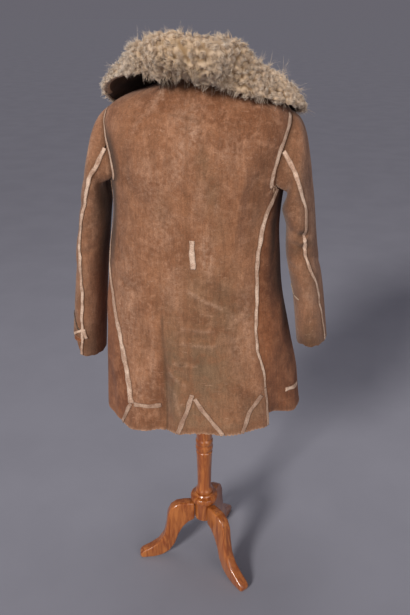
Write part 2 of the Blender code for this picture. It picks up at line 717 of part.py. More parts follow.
def armhole_strip(name, side):
    """Strip on the back's edge along the armhole."""
    rows = np.array(armhole_rows)[1:-2]
    turns = np.array([armhole_turn(height) for height in rows])
    slant = ARMHOLE_EDGE / np.maximum(np.sin(np.radians(turns)), 0.6)
    offset = armhole_offset(-turns) - np.degrees(slant / 0.2)
    angles = 360 + offset if side > 0 else 180 - offset
    strip_on(name, coat_point, angles, rows, ARMHOLE_STRIP_WIDTH)


armhole_strip("strip_armhole_right", 1)
armhole_strip("strip_armhole_left", -1)


def sleeve_strip(name, laid, seam, start):
    shares = [float(share) for share in sleeve_rows if start < share < 0.99] + [0.996]
    turns = smooth(seam[:, 0], seam[:, 1], np.array(shares))
    strip_on(name, laid, turns, shares, lift=SLEEVE_STRIP_LIFT)


sleeve_strip("strip_sleeve_right", right_sleeve, RIGHT_SLEEVE_SEAM, 0.07)
sleeve_strip("strip_sleeve_left", left_sleeve, LEFT_SLEEVE_SEAM, 0.07)


def torso_form():
    """Smooth limbless torso: own sections below, the coat's own face under the shoulders, a round neck."""
    angles = np.linspace(0, 360, TORSO_COLUMNS + 1)[:-1]
    rings = []
    for height, half_width, back, front in TORSO_SECTIONS:
        depth = np.where(np.sin(np.radians(angles)) < 0, back, front)
        across = np.abs(np.cos(np.radians(angles)) / half_width) ** SECTION_POWER
        deep = np.abs(np.sin(np.radians(angles)) / depth) ** SECTION_POWER
        radius = (across + deep) ** (-1 / SECTION_POWER)
        rings.append(np.stack([
            -0.010 + radius * np.cos(np.radians(angles)),
            radius * np.sin(np.radians(angles)),
            np.full(len(angles), height),
        ], -1))
    for height, clearance in TORSO_SHOULDER:
        rings.append(coat_point(angles, np.full(len(angles), height), np.full(len(angles), -WALL - clearance)))
    for height, radius in TORSO_NECK:
        rings.append(np.stack([
            radius * np.cos(np.radians(angles)),
            -0.006 + radius * np.sin(np.radians(angles)),
            np.full(len(angles), height),
        ], -1))
    shape = bmesh.new()
    loops = [[shape.verts.new(point) for point in ring] for ring in rings]
    for low, high in zip(loops, loops[1:]):
        for k in range(TORSO_COLUMNS):
            following = (k + 1) % TORSO_COLUMNS
            shape.faces.new((low[k], low[following], high[following], high[k]))
    shape.faces.new(loops[0][::-1])
    shape.faces.new(loops[-1])
    return keep_mesh("form_torso", shape, (0.55, 0.47, 0.36))


torso_form()


def turned(name, profile):
    """Turned solid from a profile spun round the upright axis."""
    shape = bmesh.new()
    verts = [shape.verts.new((radius, 0.0, height)) for radius, height in profile]
    edges = [shape.edges.new(pair) for pair in zip(verts, verts[1:])]
    bmesh.ops.spin(shape, geom=verts + edges, axis=(0, 0, 1), cent=(0, 0, 0), steps=TURNED_STEPS,
                   angle=2 * math.pi, use_merge=True)
    bmesh.ops.remove_doubles(shape, verts=shape.verts[:], dist=0.00001)
    return keep_mesh(name, shape, (0.36, 0.14, 0.05), 0.25)


turned("stand_post", POST_PROFILE)
turned("stand_hub", HUB_PROFILE)

for number, angle in enumerate(LEG_ANGLES, 1):
    plank = bmesh.new()
    corners = [plank.verts.new((reach, -LEG_THICK / 2, height)) for reach, height in LEG_OUTLINE]
    side_face = plank.faces.new(corners)
    sawn = bmesh.ops.extrude_face_region(plank, geom=[side_face])
    far = [item for item in sawn["geom"] if isinstance(item, bmesh.types.BMVert)]
    bmesh.ops.translate(plank, verts=far, vec=(0, LEG_THICK, 0))
    leg = keep_mesh(f"stand_leg_{number}", plank, (0.36, 0.14, 0.05), 0.25)
    leg.rotation_euler = (0, 0, math.radians(angle))
    rounding = leg.modifiers.new("rounded_edges", "BEVEL")
    rounding.width = LEG_ROUND
    rounding.segments = 2
    rounding.limit_method = "ANGLE"
    rounding.angle_limit = math.radians(50)

# The origin is under the middle of the whole
bpy.context.view_layer.update()
graph = bpy.context.evaluated_depsgraph_get()
low = Vector((9, 9, 9))
high = Vector((-9, -9, -9))
for piece in coat_set.objects:
    if piece.type == "MESH":
        for corner in piece.evaluated_get(graph).bound_box:
            spot = piece.matrix_world @ Vector(corner)
            low = Vector(map(min, low, spot))
            high = Vector(map(max, high, spot))
root.location = (-(low.x + high.x) / 2, -(low.y + high.y) / 2, -low.z)
bpy.context.view_layer.update()
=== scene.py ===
import math

import bpy
import numpy as np
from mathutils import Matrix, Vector, kdtree


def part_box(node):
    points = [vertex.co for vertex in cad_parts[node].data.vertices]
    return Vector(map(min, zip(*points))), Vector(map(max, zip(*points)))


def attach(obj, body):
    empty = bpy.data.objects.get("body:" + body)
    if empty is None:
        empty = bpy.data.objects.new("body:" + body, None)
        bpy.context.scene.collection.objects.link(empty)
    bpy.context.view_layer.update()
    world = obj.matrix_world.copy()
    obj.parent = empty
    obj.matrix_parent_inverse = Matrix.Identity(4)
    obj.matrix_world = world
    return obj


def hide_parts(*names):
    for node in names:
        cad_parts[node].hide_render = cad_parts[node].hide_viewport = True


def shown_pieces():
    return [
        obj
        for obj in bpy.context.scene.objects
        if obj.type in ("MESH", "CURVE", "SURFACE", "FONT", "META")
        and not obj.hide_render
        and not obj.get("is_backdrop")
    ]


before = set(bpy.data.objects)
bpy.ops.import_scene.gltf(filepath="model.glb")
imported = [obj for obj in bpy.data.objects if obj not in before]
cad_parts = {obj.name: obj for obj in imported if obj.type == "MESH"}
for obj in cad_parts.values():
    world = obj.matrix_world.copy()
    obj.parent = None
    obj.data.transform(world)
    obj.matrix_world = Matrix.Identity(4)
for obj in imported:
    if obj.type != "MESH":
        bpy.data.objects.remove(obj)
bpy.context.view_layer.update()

bpy.ops.object.select_all(action="DESELECT")

# the post stands on the coat's own axis, so its middle is where the coat is drawn from
postLow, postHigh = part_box("stand_post")
coatMiddle = np.array([(postLow.x + postHigh.x) / 2, (postLow.y + postHigh.y) / 2, 0.0])
print("frame loaded, coat middle", coatMiddle.round(4))


# small sums that every piece uses

def smoothLine(knots, values, at):
    knots = np.asarray(knots, float)
    values = np.asarray(values, float)
    slopes = np.gradient(values, knots)
    at = np.asarray(at, float)
    spot = np.clip(np.searchsorted(knots, at) - 1, 0, len(knots) - 2)
    span = knots[spot + 1] - knots[spot]
    t = (at - knots[spot]) / span
    level = values[spot] * (1 + 2 * t) * (1 - t) ** 2 + values[spot + 1] * t * t * (3 - 2 * t)
    lean = slopes[spot] * t * (1 - t) ** 2 - slopes[spot + 1] * t * t * (1 - t)
    return level + lean * span


def easeStep(t):
    t = np.clip(t, 0.0, 1.0)
    return t * t * (3 - 2 * t)


def turnBetween(angle, middle):
    return (angle - middle + 180.0) % 360.0 - 180.0


def unit(vectors):
    return vectors / np.maximum(np.linalg.norm(vectors, axis=-1, keepdims=True), 1e-12)


def lengthAlong(line):
    return np.concatenate([[0], np.cumsum(np.linalg.norm(np.diff(line, axis=0), axis=1))])


def columnsAt(table, at):
    return [smoothLine(table[:, 0], table[:, k], at) for k in range(1, table.shape[1])]


def movedOut(surface, first, second, out, firstStep, secondStep):
    alongFirst = surface(first + firstStep, second) - surface(first - firstStep, second)
    alongSecond = surface(first, second + secondStep) - surface(first, second - secondStep)
    normal = unit(np.cross(alongFirst, alongSecond))
    return surface(first, second) + normal * np.asarray(out, float)[..., None], normal


# node helpers, all for the material that is being made

making = {}


def addNode(kind, inputs=None, **settings):
    tree = making["material"].node_tree
    node = tree.nodes.new(kind)
    for key, value in settings.items():
        setattr(node, key, value)
    for key, value in (inputs or {}).items():
        if isinstance(value, bpy.types.NodeSocket):
            tree.links.new(value, node.inputs[key])
        else:
            node.inputs[key].default_value = value
    return node


def newMaterial(name, roughness, specular, sheen=0.0, more=None):
    making["material"] = bpy.data.materials.new(name)
    making["material"].use_nodes = True
    shader = making["material"].node_tree.nodes["Principled BSDF"]
    values = {"Roughness": roughness, "Specular IOR Level": specular, "Sheen Weight": sheen,
              "Sheen Roughness": 0.6, **(more or {})}
    for key, value in values.items():
        shader.inputs[key].default_value = value
    return addNode("ShaderNodeTexCoord").outputs["Object"]


def noiseAt(coords, scale, detail=4.0, roughness=0.55, distortion=0.0):
    inputs = {"Vector": coords, "Scale": scale, "Detail": detail, "Roughness": roughness,
              "Distortion": distortion}
    return addNode("ShaderNodeTexNoise", inputs).outputs["Fac"]


def stretchedNoise(coords, scale, *settings):
    mapped = addNode("ShaderNodeMapping", {"Vector": coords, "Scale": scale}).outputs["Vector"]
    return noiseAt(mapped, 1.0, *settings)


def between(value, low, high, toLow=0.0, toHigh=1.0):
    inputs = {"Value": value, "From Min": low, "From Max": high, "To Min": toLow, "To Max": toHigh}
    return addNode("ShaderNodeMapRange", inputs, interpolation_type="SMOOTHSTEP").outputs["Result"]


def worked(operation, first, second):
    return addNode("ShaderNodeMath", {0: first, 1: second}, operation=operation).outputs["Value"]


def attributeOf(name):
    return addNode("ShaderNodeAttribute", attribute_name=name).outputs["Fac"]


def marked(name, strength):
    return worked("MULTIPLY", attributeOf(name), strength)


def mixColour(factor, first, second, blend="MIX"):
    sides = [(*side, 1.0) if isinstance(side, tuple) else side for side in (first, second)]
    inputs = {0: factor, 6: sides[0], 7: sides[1]}
    return addNode("ShaderNodeMix", inputs, data_type="RGBA", blend_type=blend).outputs[2]


def layered(colour, *layers):
    # where a pattern begins to show, where it is full, how strongly, and its colour
    for pattern, low, high, strength, over in layers:
        colour = mixColour(between(pattern, low, high, 0.0, strength), colour, over)
    return colour


def finished(colour, *reliefs):
    # reliefs are a pattern, its depth and its strength, the coarse ones first
    tree = making["material"].node_tree
    shader = tree.nodes["Principled BSDF"]
    tree.links.new(colour, shader.inputs["Base Color"])
    normal = {}
    for pattern, depth, strength in reliefs:
        inputs = {"Height": pattern, "Distance": depth, "Strength": strength, **normal}
        normal = {"Normal": addNode("ShaderNodeBump", inputs).outputs["Normal"]}
    for socket in normal.values():
        tree.links.new(socket, shader.inputs["Normal"])
    return making["material"]


# suede: cloudy colour, rubbed pale places and painted highlights, soil and painted shade, fine nap

def suedeMaterial(name, looks):
    deep, pale, rubbed, soil = looks["deep"], looks["pale"], looks["rubbed"], looks["soil"]
    coords = newMaterial(name, 0.93, 0.12, looks["sheen"])
    clouds = noiseAt(coords, 7.0, 6.0, 0.6, 0.5)
    blotches = noiseAt(coords, 27.0, 6.0, 0.65, 0.5)
    mottle = noiseAt(coords, 92.0, 6.0, 0.7, 0.3)
    speckle = noiseAt(coords, 390.0, 3.0, 0.75)
    streaks = stretchedNoise(coords, (170.0, 170.0, 20.0), 4.0, 0.65, 0.4)
    scuffs = stretchedNoise(coords, (34.0, 34.0, 150.0), 5.0, 0.7, 1.2)
    colour = layered(
        deep, (clouds, 0.38, 0.6, 1.0, looks["main"]), (blotches, 0.48, 0.66, 0.65, pale),
        (blotches, 0.46, 0.32, 0.6, deep), (mottle, 0.51, 0.66, 0.42, pale), (mottle, 0.47, 0.33, 0.48, deep))
    # wear and soil marked on the mesh, with painted highlights and painted shade among them, broken up by the
    # mottle
    colour = mixColour(marked("soil", between(blotches, 0.3, 0.56, 0.35, 1.0)), colour, soil)
    colour = mixColour(marked("rub", between(mottle, 0.36, 0.6, 0.15, 1.0)), colour, rubbed)
    colour = layered(colour, (scuffs, 0.6, 0.7, 0.55, rubbed), (scuffs, 0.38, 0.28, 0.5, soil))
    colour = mixColour(marked("edge", between(mottle, 0.3, 0.62, 0.15, 0.9)), colour, looks["edge"])
    # painted shade: the shade mark darkens creases, gaps and sides turned from the light
    colour = mixColour(attributeOf("shade"), colour, looks["shade"])
    colour = mixColour(1.0, colour, between(speckle, 0.34, 0.66, 0.8, 1.15), "MULTIPLY")
    colour = mixColour(1.0, colour, between(streaks, 0.36, 0.64, 0.88, 1.09), "MULTIPLY")
    return finished(colour, (clouds, 0.004, 0.5), (blotches, 0.003, 0.6), (mottle, 0.0014, 0.8),
                    (speckle, 0.0005, 0.9))


backSuede = suedeMaterial("back_suede", {
    "main": (0.335, 0.15, 0.074), "deep": (0.215, 0.086, 0.039), "pale": (0.43, 0.215, 0.122),
    "rubbed": (0.52, 0.31, 0.205), "soil": (0.19, 0.118, 0.066), "edge": (0.225, 0.098, 0.046),
    "shade": (0.075, 0.036, 0.018), "sheen": 0.15,
})
frontSuede = suedeMaterial("front_suede", {
    "main": (0.29, 0.105, 0.042), "deep": (0.18, 0.058, 0.021), "pale": (0.38, 0.16, 0.075),
    "rubbed": (0.45, 0.23, 0.13), "soil": (0.14, 0.062, 0.028), "edge": (0.21, 0.084, 0.037),
    "shade": (0.036, 0.014, 0.006), "sheen": 0.12,
})
sleeveSuede = suedeMaterial("sleeve_suede", {
    "main": (0.33, 0.155, 0.082), "deep": (0.215, 0.096, 0.049), "pale": (0.42, 0.222, 0.13),
    "rubbed": (0.46, 0.275, 0.178), "soil": (0.112, 0.06, 0.034), "edge": (0.205, 0.096, 0.048),
    "shade": (0.05, 0.024, 0.012), "sheen": 0.15,
})


def fibreMaterial(name, finish, size, ramp, dark, light, depth):
    fibres = noiseAt(newMaterial(name, *finish), *size)
    colour = layered(dark, (fibres, *ramp, 1.0, light))
    return finished(colour, (fibres, depth, 1.0)) if depth else finished(colour)


def pileMaterial():
    coords = newMaterial("inner_pile", 0.95, 0.1, 0.2)
    tufts = noiseAt(coords, 120.0, 4.0, 0.65, 0.6)
    clouds = noiseAt(coords, 14.0, 3.0)
    colour = layered((0.26, 0.2, 0.13), (tufts, 0.3, 0.7, 1.0, (0.55, 0.46, 0.34)),
                     (clouds, 0.35, 0.7, 0.5, (0.36, 0.27, 0.17)))
    return finished(colour, (tufts, 0.004, 1.0))


def stripMaterial(name, dark, light):
    coords = newMaterial(name, 0.78, 0.25, 0.08)
    clouds = noiseAt(coords, 34.0, 5.0, 0.65)
    wear = noiseAt(coords, 130.0, 5.0, 0.7, 0.5)
    grain = noiseAt(coords, 480.0, 3.0, 0.7)
    colour = layered(dark, (clouds, 0.38, 0.6, 1.0, light), (wear, 0.54, 0.68, 0.65, (0.33, 0.18, 0.105)))
    colour = mixColour(marked("edge", 0.8), colour, (0.22, 0.11, 0.06))
    colour = mixColour(1.0, colour, between(grain, 0.34, 0.66, 0.72, 1.2), "MULTIPLY")
    return finished(colour, (wear, 0.001, 0.7), (grain, 0.0004, 0.8))


def collarLeatherMaterial():
    coords = newMaterial("collar_leather", 0.62, 0.3, 0.05)
    clouds = noiseAt(coords, 22.0, 4.0, 0.6)
    grain = noiseAt(coords, 260.0, 3.0, 0.6)
    colour = layered((0.042, 0.021, 0.012), (clouds, 0.35, 0.7, 1.0, (0.115, 0.062, 0.036)),
                     (grain, 0.62, 0.85, 0.5, (0.16, 0.092, 0.056)))
    return finished(colour, (clouds, 0.002, 0.6), (grain, 0.0005, 0.8))


# along each strand the colour goes from painted shade at the roots to painted light at the tips
def woolMaterial(name, root, body, tip, ochre, grey):
    coords = newMaterial(name, 0.88, 0.2, 0.3)
    strands = noiseAt(coords, 620.0, 2.0, 0.6)
    clouds = noiseAt(coords, 16.0, 3.0, 0.55, 0.5)
    along = attributeOf("tip")
    colour = layered(root, (along, 0.0, 0.45, 1.0, body), (along, 0.55, 1.0, 0.85, tip))
    colour = mixColour(marked("ochre", 0.75), colour, ochre)
    colour = mixColour(marked("grey", 0.8), colour, grey)
    colour = layered(colour, (clouds, 0.55, 0.75, 0.35, ochre), (strands, 0.42, 0.25, 0.32, root))
    return finished(colour, (strands, 0.0006, 0.7))


def woodMaterial():
    coords = newMaterial("varnished_wood", 0.28, 0.5, 0.0, {"Coat Weight": 0.7, "Coat Roughness": 0.12})
    grain = stretchedNoise(coords, (70.0, 70.0, 7.0), 5.0, 0.6, 1.2)
    pores = stretchedNoise(coords, (420.0, 420.0, 26.0), 3.0, 0.6)
    clouds = noiseAt(coords, 9.0, 3.0)
    colour = layered((0.235, 0.056, 0.012), (grain, 0.32, 0.7, 1.0, (0.52, 0.178, 0.044)),
                     (pores, 0.6, 0.82, 0.5, (0.12, 0.034, 0.01)),
                     (clouds, 0.4, 0.7, 0.35, (0.36, 0.09, 0.02)))
    return finished(colour, (pores, 0.0002, 0.5))


def linenMaterial():
    coords = newMaterial("form_linen", 0.9, 0.2, 0.1)
    warp = stretchedNoise(coords, (900.0, 900.0, 60.0), 2.0)
    weft = stretchedNoise(coords, (60.0, 60.0, 900.0), 2.0)
    weave = worked("ADD", warp, weft)
    clouds = noiseAt(coords, 7.0, 4.0)
    colour = layered((0.4, 0.33, 0.24), (weave, 0.75, 1.25, 1.0, (0.64, 0.56, 0.44)),
                     (clouds, 0.4, 0.75, 0.35, (0.44, 0.35, 0.24)))
    return finished(colour, (weave, 0.0004, 1.0))


innerPile = pileMaterial()
rawEdge = fibreMaterial("raw_edge", (0.9, 0.15, 0.1), (260.0, 4.0, 0.7), (0.35, 0.7), (0.38, 0.24, 0.155),
                        (0.6, 0.44, 0.32), 0.0008)
sewingThread = fibreMaterial("sewing_thread", (0.8, 0.2, 0.1), (900.0, 2.0), (0.3, 0.7), (0.3, 0.19, 0.12),
                             (0.62, 0.5, 0.38), 0)
stripLeather = stripMaterial("strip_leather", (0.5, 0.315, 0.222), (0.775, 0.56, 0.425))
soiledStrip = stripMaterial("soiled_strip", (0.34, 0.196, 0.132), (0.52, 0.345, 0.25))
collarLeather = collarLeatherMaterial()
# the root colour is painted shade, the tip colour painted light
collarWool = woolMaterial("collar_wool", (0.19, 0.112, 0.056), (0.66, 0.5, 0.36), (0.9, 0.785, 0.66),
                          (0.6, 0.395, 0.195), (0.6, 0.52, 0.44))
varnishedWood = woodMaterial()
formLinen = linenMaterial()
print("materials ready")


# camera as in the photo, a little above the collar and looking down, and soft light from the left

view = {"place": (0.323, -1.51, 1.576), "pitch": 65.1, "turn": 12.0, "lens": 37.46, "floor": 260.0}
# name, kind, place, where it points, size, strength, colour
lights = (
    ("key_light", "SUN", (-1.1, -3.1, 2.7), (0.0, 0.0, 1.0), 0.21, 2.55, (1.0, 0.965, 0.92)),
    ("fill_light", "AREA", (2.4, -2.4, 1.9), (0.0, 0.0, 1.1), 2.2, 33.0, (1.0, 0.96, 0.91)),
    ("top_light", "AREA", (-0.5, 0.5, 3.2), (0.0, 0.0, 1.3), 1.8, 26.0, (1.0, 0.98, 0.96)),
)


def setStage():
    scene = bpy.context.scene
    camera = bpy.data.objects.new("photo_camera", bpy.data.cameras.new("photo_camera"))
    camera.data.lens = view["lens"]
    scene.collection.objects.link(camera)
    camera.location = Vector(view["place"]) + Vector(coatMiddle)
    camera.rotation_euler = (math.radians(view["pitch"]), 0, math.radians(view["turn"]))
    scene.camera = camera
    for name, kind, place, target, size, strength, colour in lights:
        lamp = bpy.data.objects.new(name, bpy.data.lights.new(name, kind))
        setattr(lamp.data, "angle" if kind == "SUN" else "size", size)
        lamp.data.energy = strength
        lamp.data.color = colour
        scene.collection.objects.link(lamp)
        lamp.location = place
        lamp.rotation_euler = (Vector(target) - Vector(place)).to_track_quat("-Z", "Y").to_euler()
    world = bpy.data.worlds.new("studio")
    world.use_nodes = True
    sky = world.node_tree.nodes["Background"].inputs
    sky["Color"].default_value = (0.458, 0.438, 0.518, 1.0)
    sky["Strength"].default_value = 0.3
    scene.world = world
    bpy.ops.mesh.primitive_plane_add(size=view["floor"], location=(0, 0, -0.0004))
    floor = bpy.context.object
    floor.name = "floor"
    floor.data.materials.append(fibreMaterial("floor_paper", (1.0, 0.0), (3.0, 3.0), (0.3, 0.7),
                                              (0.262, 0.262, 0.306), (0.278, 0.278, 0.324), 0))
    floor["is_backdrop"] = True
    scene.view_settings.view_transform = "Standard"


setStage()
print("camera, light and floor set")


# building a sheet: flat grids in surface places, joined where they meet, with a wall's thickness

def gridQuads(index):
    return np.stack([index[:-1, :-1], index[:-1, 1:], index[1:, 1:], index[1:, :-1]], -1).reshape(-1, 4)


def gridBand(left, right, columns, rows):
    rows = np.asarray(rows, float)
    share = np.linspace(0, 1, columns + 1)
    low = np.array([left(v) for v in rows])
    high = np.array([right(v) for v in rows])
    u = low[:, None] + (high - low)[:, None] * share
    v = np.repeat(rows[:, None], columns + 1, axis=1)
    border = np.minimum(share, 1 - share) * np.abs(high - low)[:, None]
    return u.ravel(), v.ravel(), border.ravel(), gridQuads(np.arange(u.size).reshape(u.shape))


def joinBands(bands):
    parts, count = [], 0
    for band in bands:
        u, v, border, quads = gridBand(*band)
        parts.append((u, v, border, quads + count))
        count += len(u)
    u, v, border, quads = [np.concatenate(part) for part in zip(*parts)]
    keys = np.stack([np.round(u * 1000), np.round(v * 100000)], -1).astype(np.int64)
    first, back = np.unique(keys, axis=0, return_index=True, return_inverse=True)[1:]
    return u[first], v[first], border[first], back.reshape(-1)[quads]


def borderEdges(quads):
    directed = np.concatenate([quads[:, [k, (k + 1) % 4]] for k in range(4)])
    pairs = np.sort(directed, axis=1)
    index, count = np.unique(pairs, axis=0, return_inverse=True, return_counts=True)[1:]
    return directed[count[index.reshape(-1)] == 1]


def meshPiece(name, points, faces, materials, faceKinds=None, values=None):
    mesh = bpy.data.meshes.new(name)
    mesh.from_pydata((points + coatMiddle).tolist(), [], [list(face) for face in faces])
    for material in materials:
        mesh.materials.append(material)
    if faceKinds is not None:
        mesh.polygons.foreach_set("material_index", np.asarray(faceKinds, np.int32))
    mesh.polygons.foreach_set("use_smooth", np.ones(len(mesh.polygons), bool))
    for key, value in (values or {}).items():
        layer = mesh.attributes.new(key, "FLOAT", "POINT")
        layer.data.foreach_set("value", np.asarray(value, np.float32))
    mesh.update()
    piece = bpy.data.objects.new(name, mesh)
    bpy.context.scene.collection.objects.link(piece)
    return piece


def wallPiece(name, outer, inner, quads, materials, kinds, values):
    # two faces and the rim between them, turned so that they face out
    count = len(outer)
    rim = borderEdges(quads)
    rimFaces = np.stack([rim[:, 1], rim[:, 0], rim[:, 0] + count, rim[:, 1] + count], -1)
    faces = np.concatenate([quads, quads[:, ::-1] + count, rimFaces])
    points = np.concatenate([outer, inner])
    a, b, c, d = [points[faces[:, k]] for k in range(4)]
    if np.sum(a * np.cross(b, c)) + np.sum(a * np.cross(c, d)) <= 0:
        faces = faces[:, ::-1]
    faceKinds = np.repeat(kinds, (len(quads), len(quads), len(rim)))
    doubled = {key: np.concatenate([value, value]) for key, value in values.items()}
    return meshPiece(name, points, faces, materials, faceKinds, doubled)


def sharpRims(piece, degrees):
    bpy.ops.object.select_all(action="DESELECT")
    piece.select_set(True)
    bpy.context.view_layer.objects.active = piece
    bpy.ops.object.shade_smooth_by_angle(angle=math.radians(degrees))
    piece.select_set(False)


def settle(piece, slot, *nodes):
    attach(piece, "root")
    if nodes:
        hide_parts(*nodes)
    return piece


def wrapSheet(name, slot, node, bands, place, values, materials):
    u, v, border, quads = joinBands(bands)
    sides = (place(u, v, 1.0), place(u, v, 0.0))
    piece = wallPiece(name, *sides, quads, materials, (0, 1, 2), values(u, v, border))
    sharpRims(piece, 60)
    return settle(piece, slot, node)


# the coat's form, the same sections and folds as the solids

coat = {
    "wall": 0.003, "seamGap": 0.0005, "hem": 0.583, "leftGussetTop": 0.655, "gussetTop": 0.695,
    "armholeMiddle": 1.29, "armholeHalf": 0.082, "neck": 1.44, "hemTilt": 0.018, "tiltEnd": 0.95,
    "armholeBack": 9.0, "armholeFront": 26.0, "armholeFoot": -16.0, "power": 2.3,
    "metresPerDegree": 0.0034, "columns": 48, "frontColumns": 58,
}
coat["armpit"] = coat["armholeMiddle"] - coat["armholeHalf"]
coat["armholeTop"] = coat["armholeMiddle"] + coat["armholeHalf"]

# height, half width, depth to the back, depth to the front, sideways shift
coatSections = np.array([
    (0.555, 0.268, 0.188, 0.178, -0.008),
    (0.75, 0.25, 0.172, 0.162, -0.016),
    (0.97, 0.224, 0.15, 0.145, -0.026),
    (1.15, 0.207, 0.142, 0.138, -0.018),
    (1.25, 0.218, 0.142, 0.13, -0.014),
    (1.32, 0.226, 0.133, 0.112, -0.014),
    (1.355, 0.223, 0.123, 0.098, -0.013),
    (1.375, 0.211, 0.116, 0.088, -0.012),
    (1.39, 0.19, 0.109, 0.081, -0.01),
    (1.403, 0.161, 0.103, 0.075, -0.009),
    (1.417, 0.123, 0.096, 0.069, -0.006),
    (1.43, 0.088, 0.089, 0.063, -0.004),
    (1.44, 0.069, 0.08, 0.06, -0.003),
])
# angle at the foot, angle at the head, half span, depth, lower end, upper end
coatFolds = (
    (231, 231, 19, 0.016, 0.3, 0.8), (251, 254, 14, -0.012, 0.3, 0.88), (265, 266, 13, 0.006, 0.3, 0.86),
    (303, 300, 20, 0.01, 0.3, 0.82), (338, 338, 15, -0.014, 0.3, 0.84), (361, 358, 16, 0.01, 0.3, 0.9),
    (320, 322, 9, -0.006, 1.00, 1.33), (206, 200, 10, -0.006, 0.3, 0.9), (30, 22, 14, -0.012, 0.3, 0.98),
    (55, 52, 14, 0.01, 0.3, 1.00), (122, 126, 14, 0.01, 0.3, 1.02), (150, 156, 14, -0.012, 0.3, 0.96),
)
foldFade = 0.14
# from angle and height to angle and height, half width, depth
coatCreases = (
    (333, 1.3, 327, 1.215, 0.016, -0.0045), (327, 1.225, 328, 1.06, 0.02, -0.005),
    (318, 1.26, 316, 1.13, 0.016, 0.003), (250, 1.374, 283, 1.358, 0.006, -0.0022),
    (262, 1.345, 292, 1.33, 0.012, -0.0014), (216, 1.3, 222, 1.18, 0.018, -0.003),
    (212, 1.16, 226, 1.085, 0.014, -0.002), (204, 1.06, 222, 1.01, 0.011, -0.0018),
    (206, 0.985, 232, 0.95, 0.012, -0.002), (258, 1.16, 276, 1.13, 0.016, -0.0012),
    (300, 1.05, 322, 1.01, 0.014, -0.0018), (296, 0.985, 318, 0.94, 0.016, -0.002),
    (270, 0.905, 262, 0.78, 0.016, -0.0022), (284, 0.86, 278, 0.73, 0.018, 0.0022),
    (310, 0.88, 314, 0.72, 0.016, -0.0026), (322, 0.9, 324, 0.76, 0.014, 0.0024),
    (240, 0.87, 236, 0.74, 0.018, -0.003), (252, 0.88, 252, 0.6, 0.009, -0.0038),
    (344, 1.05, 350, 0.9, 0.018, -0.003), (352, 0.98, 346, 0.79, 0.016, 0.0028),
    (352, 0.86, 358, 0.7, 0.012, -0.003), (372, 1.12, 366, 0.93, 0.018, -0.003),
    (384, 1.16, 402, 1.02, 0.018, -0.0032), (410, 1.08, 398, 0.93, 0.016, 0.0026),
    (425, 1.18, 436, 1.09, 0.016, -0.0024), (430, 0.93, 424, 0.74, 0.018, -0.0034),
    (168, 1.14, 152, 1.02, 0.018, -0.0032), (140, 1.1, 150, 0.93, 0.016, 0.0026),
    (116, 1.17, 104, 1.09, 0.016, -0.0024), (110, 0.92, 118, 0.72, 0.018, -0.0034),
    (186, 1.06, 192, 0.9, 0.016, -0.0028), (196, 0.88, 204, 0.7, 0.016, 0.0026),
    (270, 0.874, 297, 0.87, 0.007, 0.0028), (270, 0.853, 296, 0.85, 0.007, -0.0022),
    (270, 0.834, 297, 0.829, 0.007, 0.0028), (261, 0.792, 280, 0.786, 0.007, -0.0024),
    (262, 0.768, 282, 0.77, 0.007, 0.0024), (258, 0.752, 271, 0.722, 0.007, 0.0024),
    (264, 0.756, 276, 0.728, 0.007, -0.002), (274, 0.972, 304, 0.928, 0.008, 0.0028),
)


def foldDepth(angle, height):
    total = np.zeros(np.broadcast(angle, height).shape)
    for foot, head, halfSpan, depth, low, high in coatFolds:
        middle = foot + (head - foot) * np.clip((height - coat["hem"]) / max(high - coat["hem"], 0.1), 0, 1)
        across = np.clip(turnBetween(angle, middle) / halfSpan, -1, 1)
        along = easeStep((height - low) / foldFade) * easeStep((high - height) / (1.6 * foldFade))
        total = total + depth * np.cos(across * math.pi / 2) ** 2 * along
    return total


def offLine(angle, height, angle0, height0, angle1, height1, sway=0.0):
    # share of the way along a line on the coat, and the distance from it
    scale = coat["metresPerDegree"]
    across = turnBetween(angle, angle0) * scale
    run = np.array([(angle1 - angle0) * scale, height1 - height0])
    share = np.clip((across * run[0] + (height - height0) * run[1]) / (run @ run), 0, 1)
    wander = sway * np.sin(9.0 * share + angle0)
    return share, np.hypot(across - share * run[0] + wander, height - height0 - share * run[1])


def creaseDepth(angle, height):
    total = np.zeros(np.broadcast(angle, height).shape)
    for *ends, halfWidth, depth in coatCreases:
        share, off = offLine(angle, height, *ends, 0.25 * halfWidth)
        total = total + depth * np.exp(-(off / halfWidth) ** 2) * (0.3 + 0.7 * np.sin(math.pi * share) ** 0.7)
    uneven = np.sin(0.19 * angle + 17 * height) * np.sin(23 * height - 0.07 * angle + 0.6)
    uneven = uneven + 0.6 * np.sin(0.43 * angle - 31 * height + 1.3) * np.sin(13 * height + 0.16 * angle)
    return total + 0.0009 * uneven


def oval(angle, halfWidth, back, front):
    cosine = np.cos(np.radians(angle))
    sine = np.sin(np.radians(angle))
    depth = np.where(sine < 0, back, front)
    radius = np.abs(cosine / halfWidth) ** coat["power"] + np.abs(sine / depth) ** coat["power"]
    return cosine, sine, radius ** (-1 / coat["power"])


def plainCoat(angle, height):
    angle = np.asarray(angle, float)
    height = np.asarray(height, float)
    halfWidth, back, front, shift = columnsAt(coatSections, height)
    cosine, sine, radius = oval(angle, halfWidth, back, front)
    radius = radius + foldDepth(angle, height)
    tilt = easeStep((coat["tiltEnd"] - height) / (coat["tiltEnd"] - coat["hem"]))
    return np.stack([shift + radius * cosine, radius * sine, height + coat["hemTilt"] * cosine * tilt], -1)


def creaseFade(angle, height):
    # creases die away towards the armholes, so that the sleeves still meet the panels
    side = np.minimum(np.abs(turnBetween(angle, 354)), np.abs(turnBetween(angle, 186)))
    near = easeStep((30 - side) / 16) * easeStep((height - 1.19) / 0.03)
    return 1 - near * easeStep((1.41 - height) / 0.03)


def coatFace(angle, height, out):
    angle = np.asarray(angle, float)
    height = np.asarray(height, float)
    lift = creaseDepth(angle, height) * creaseFade(angle, height) * easeStep((1.435 - height) / 0.03)
    return movedOut(plainCoat, angle, height, lift + out, 0.5, 0.002)[0]


# height and angle along the seams and the gussets' sides

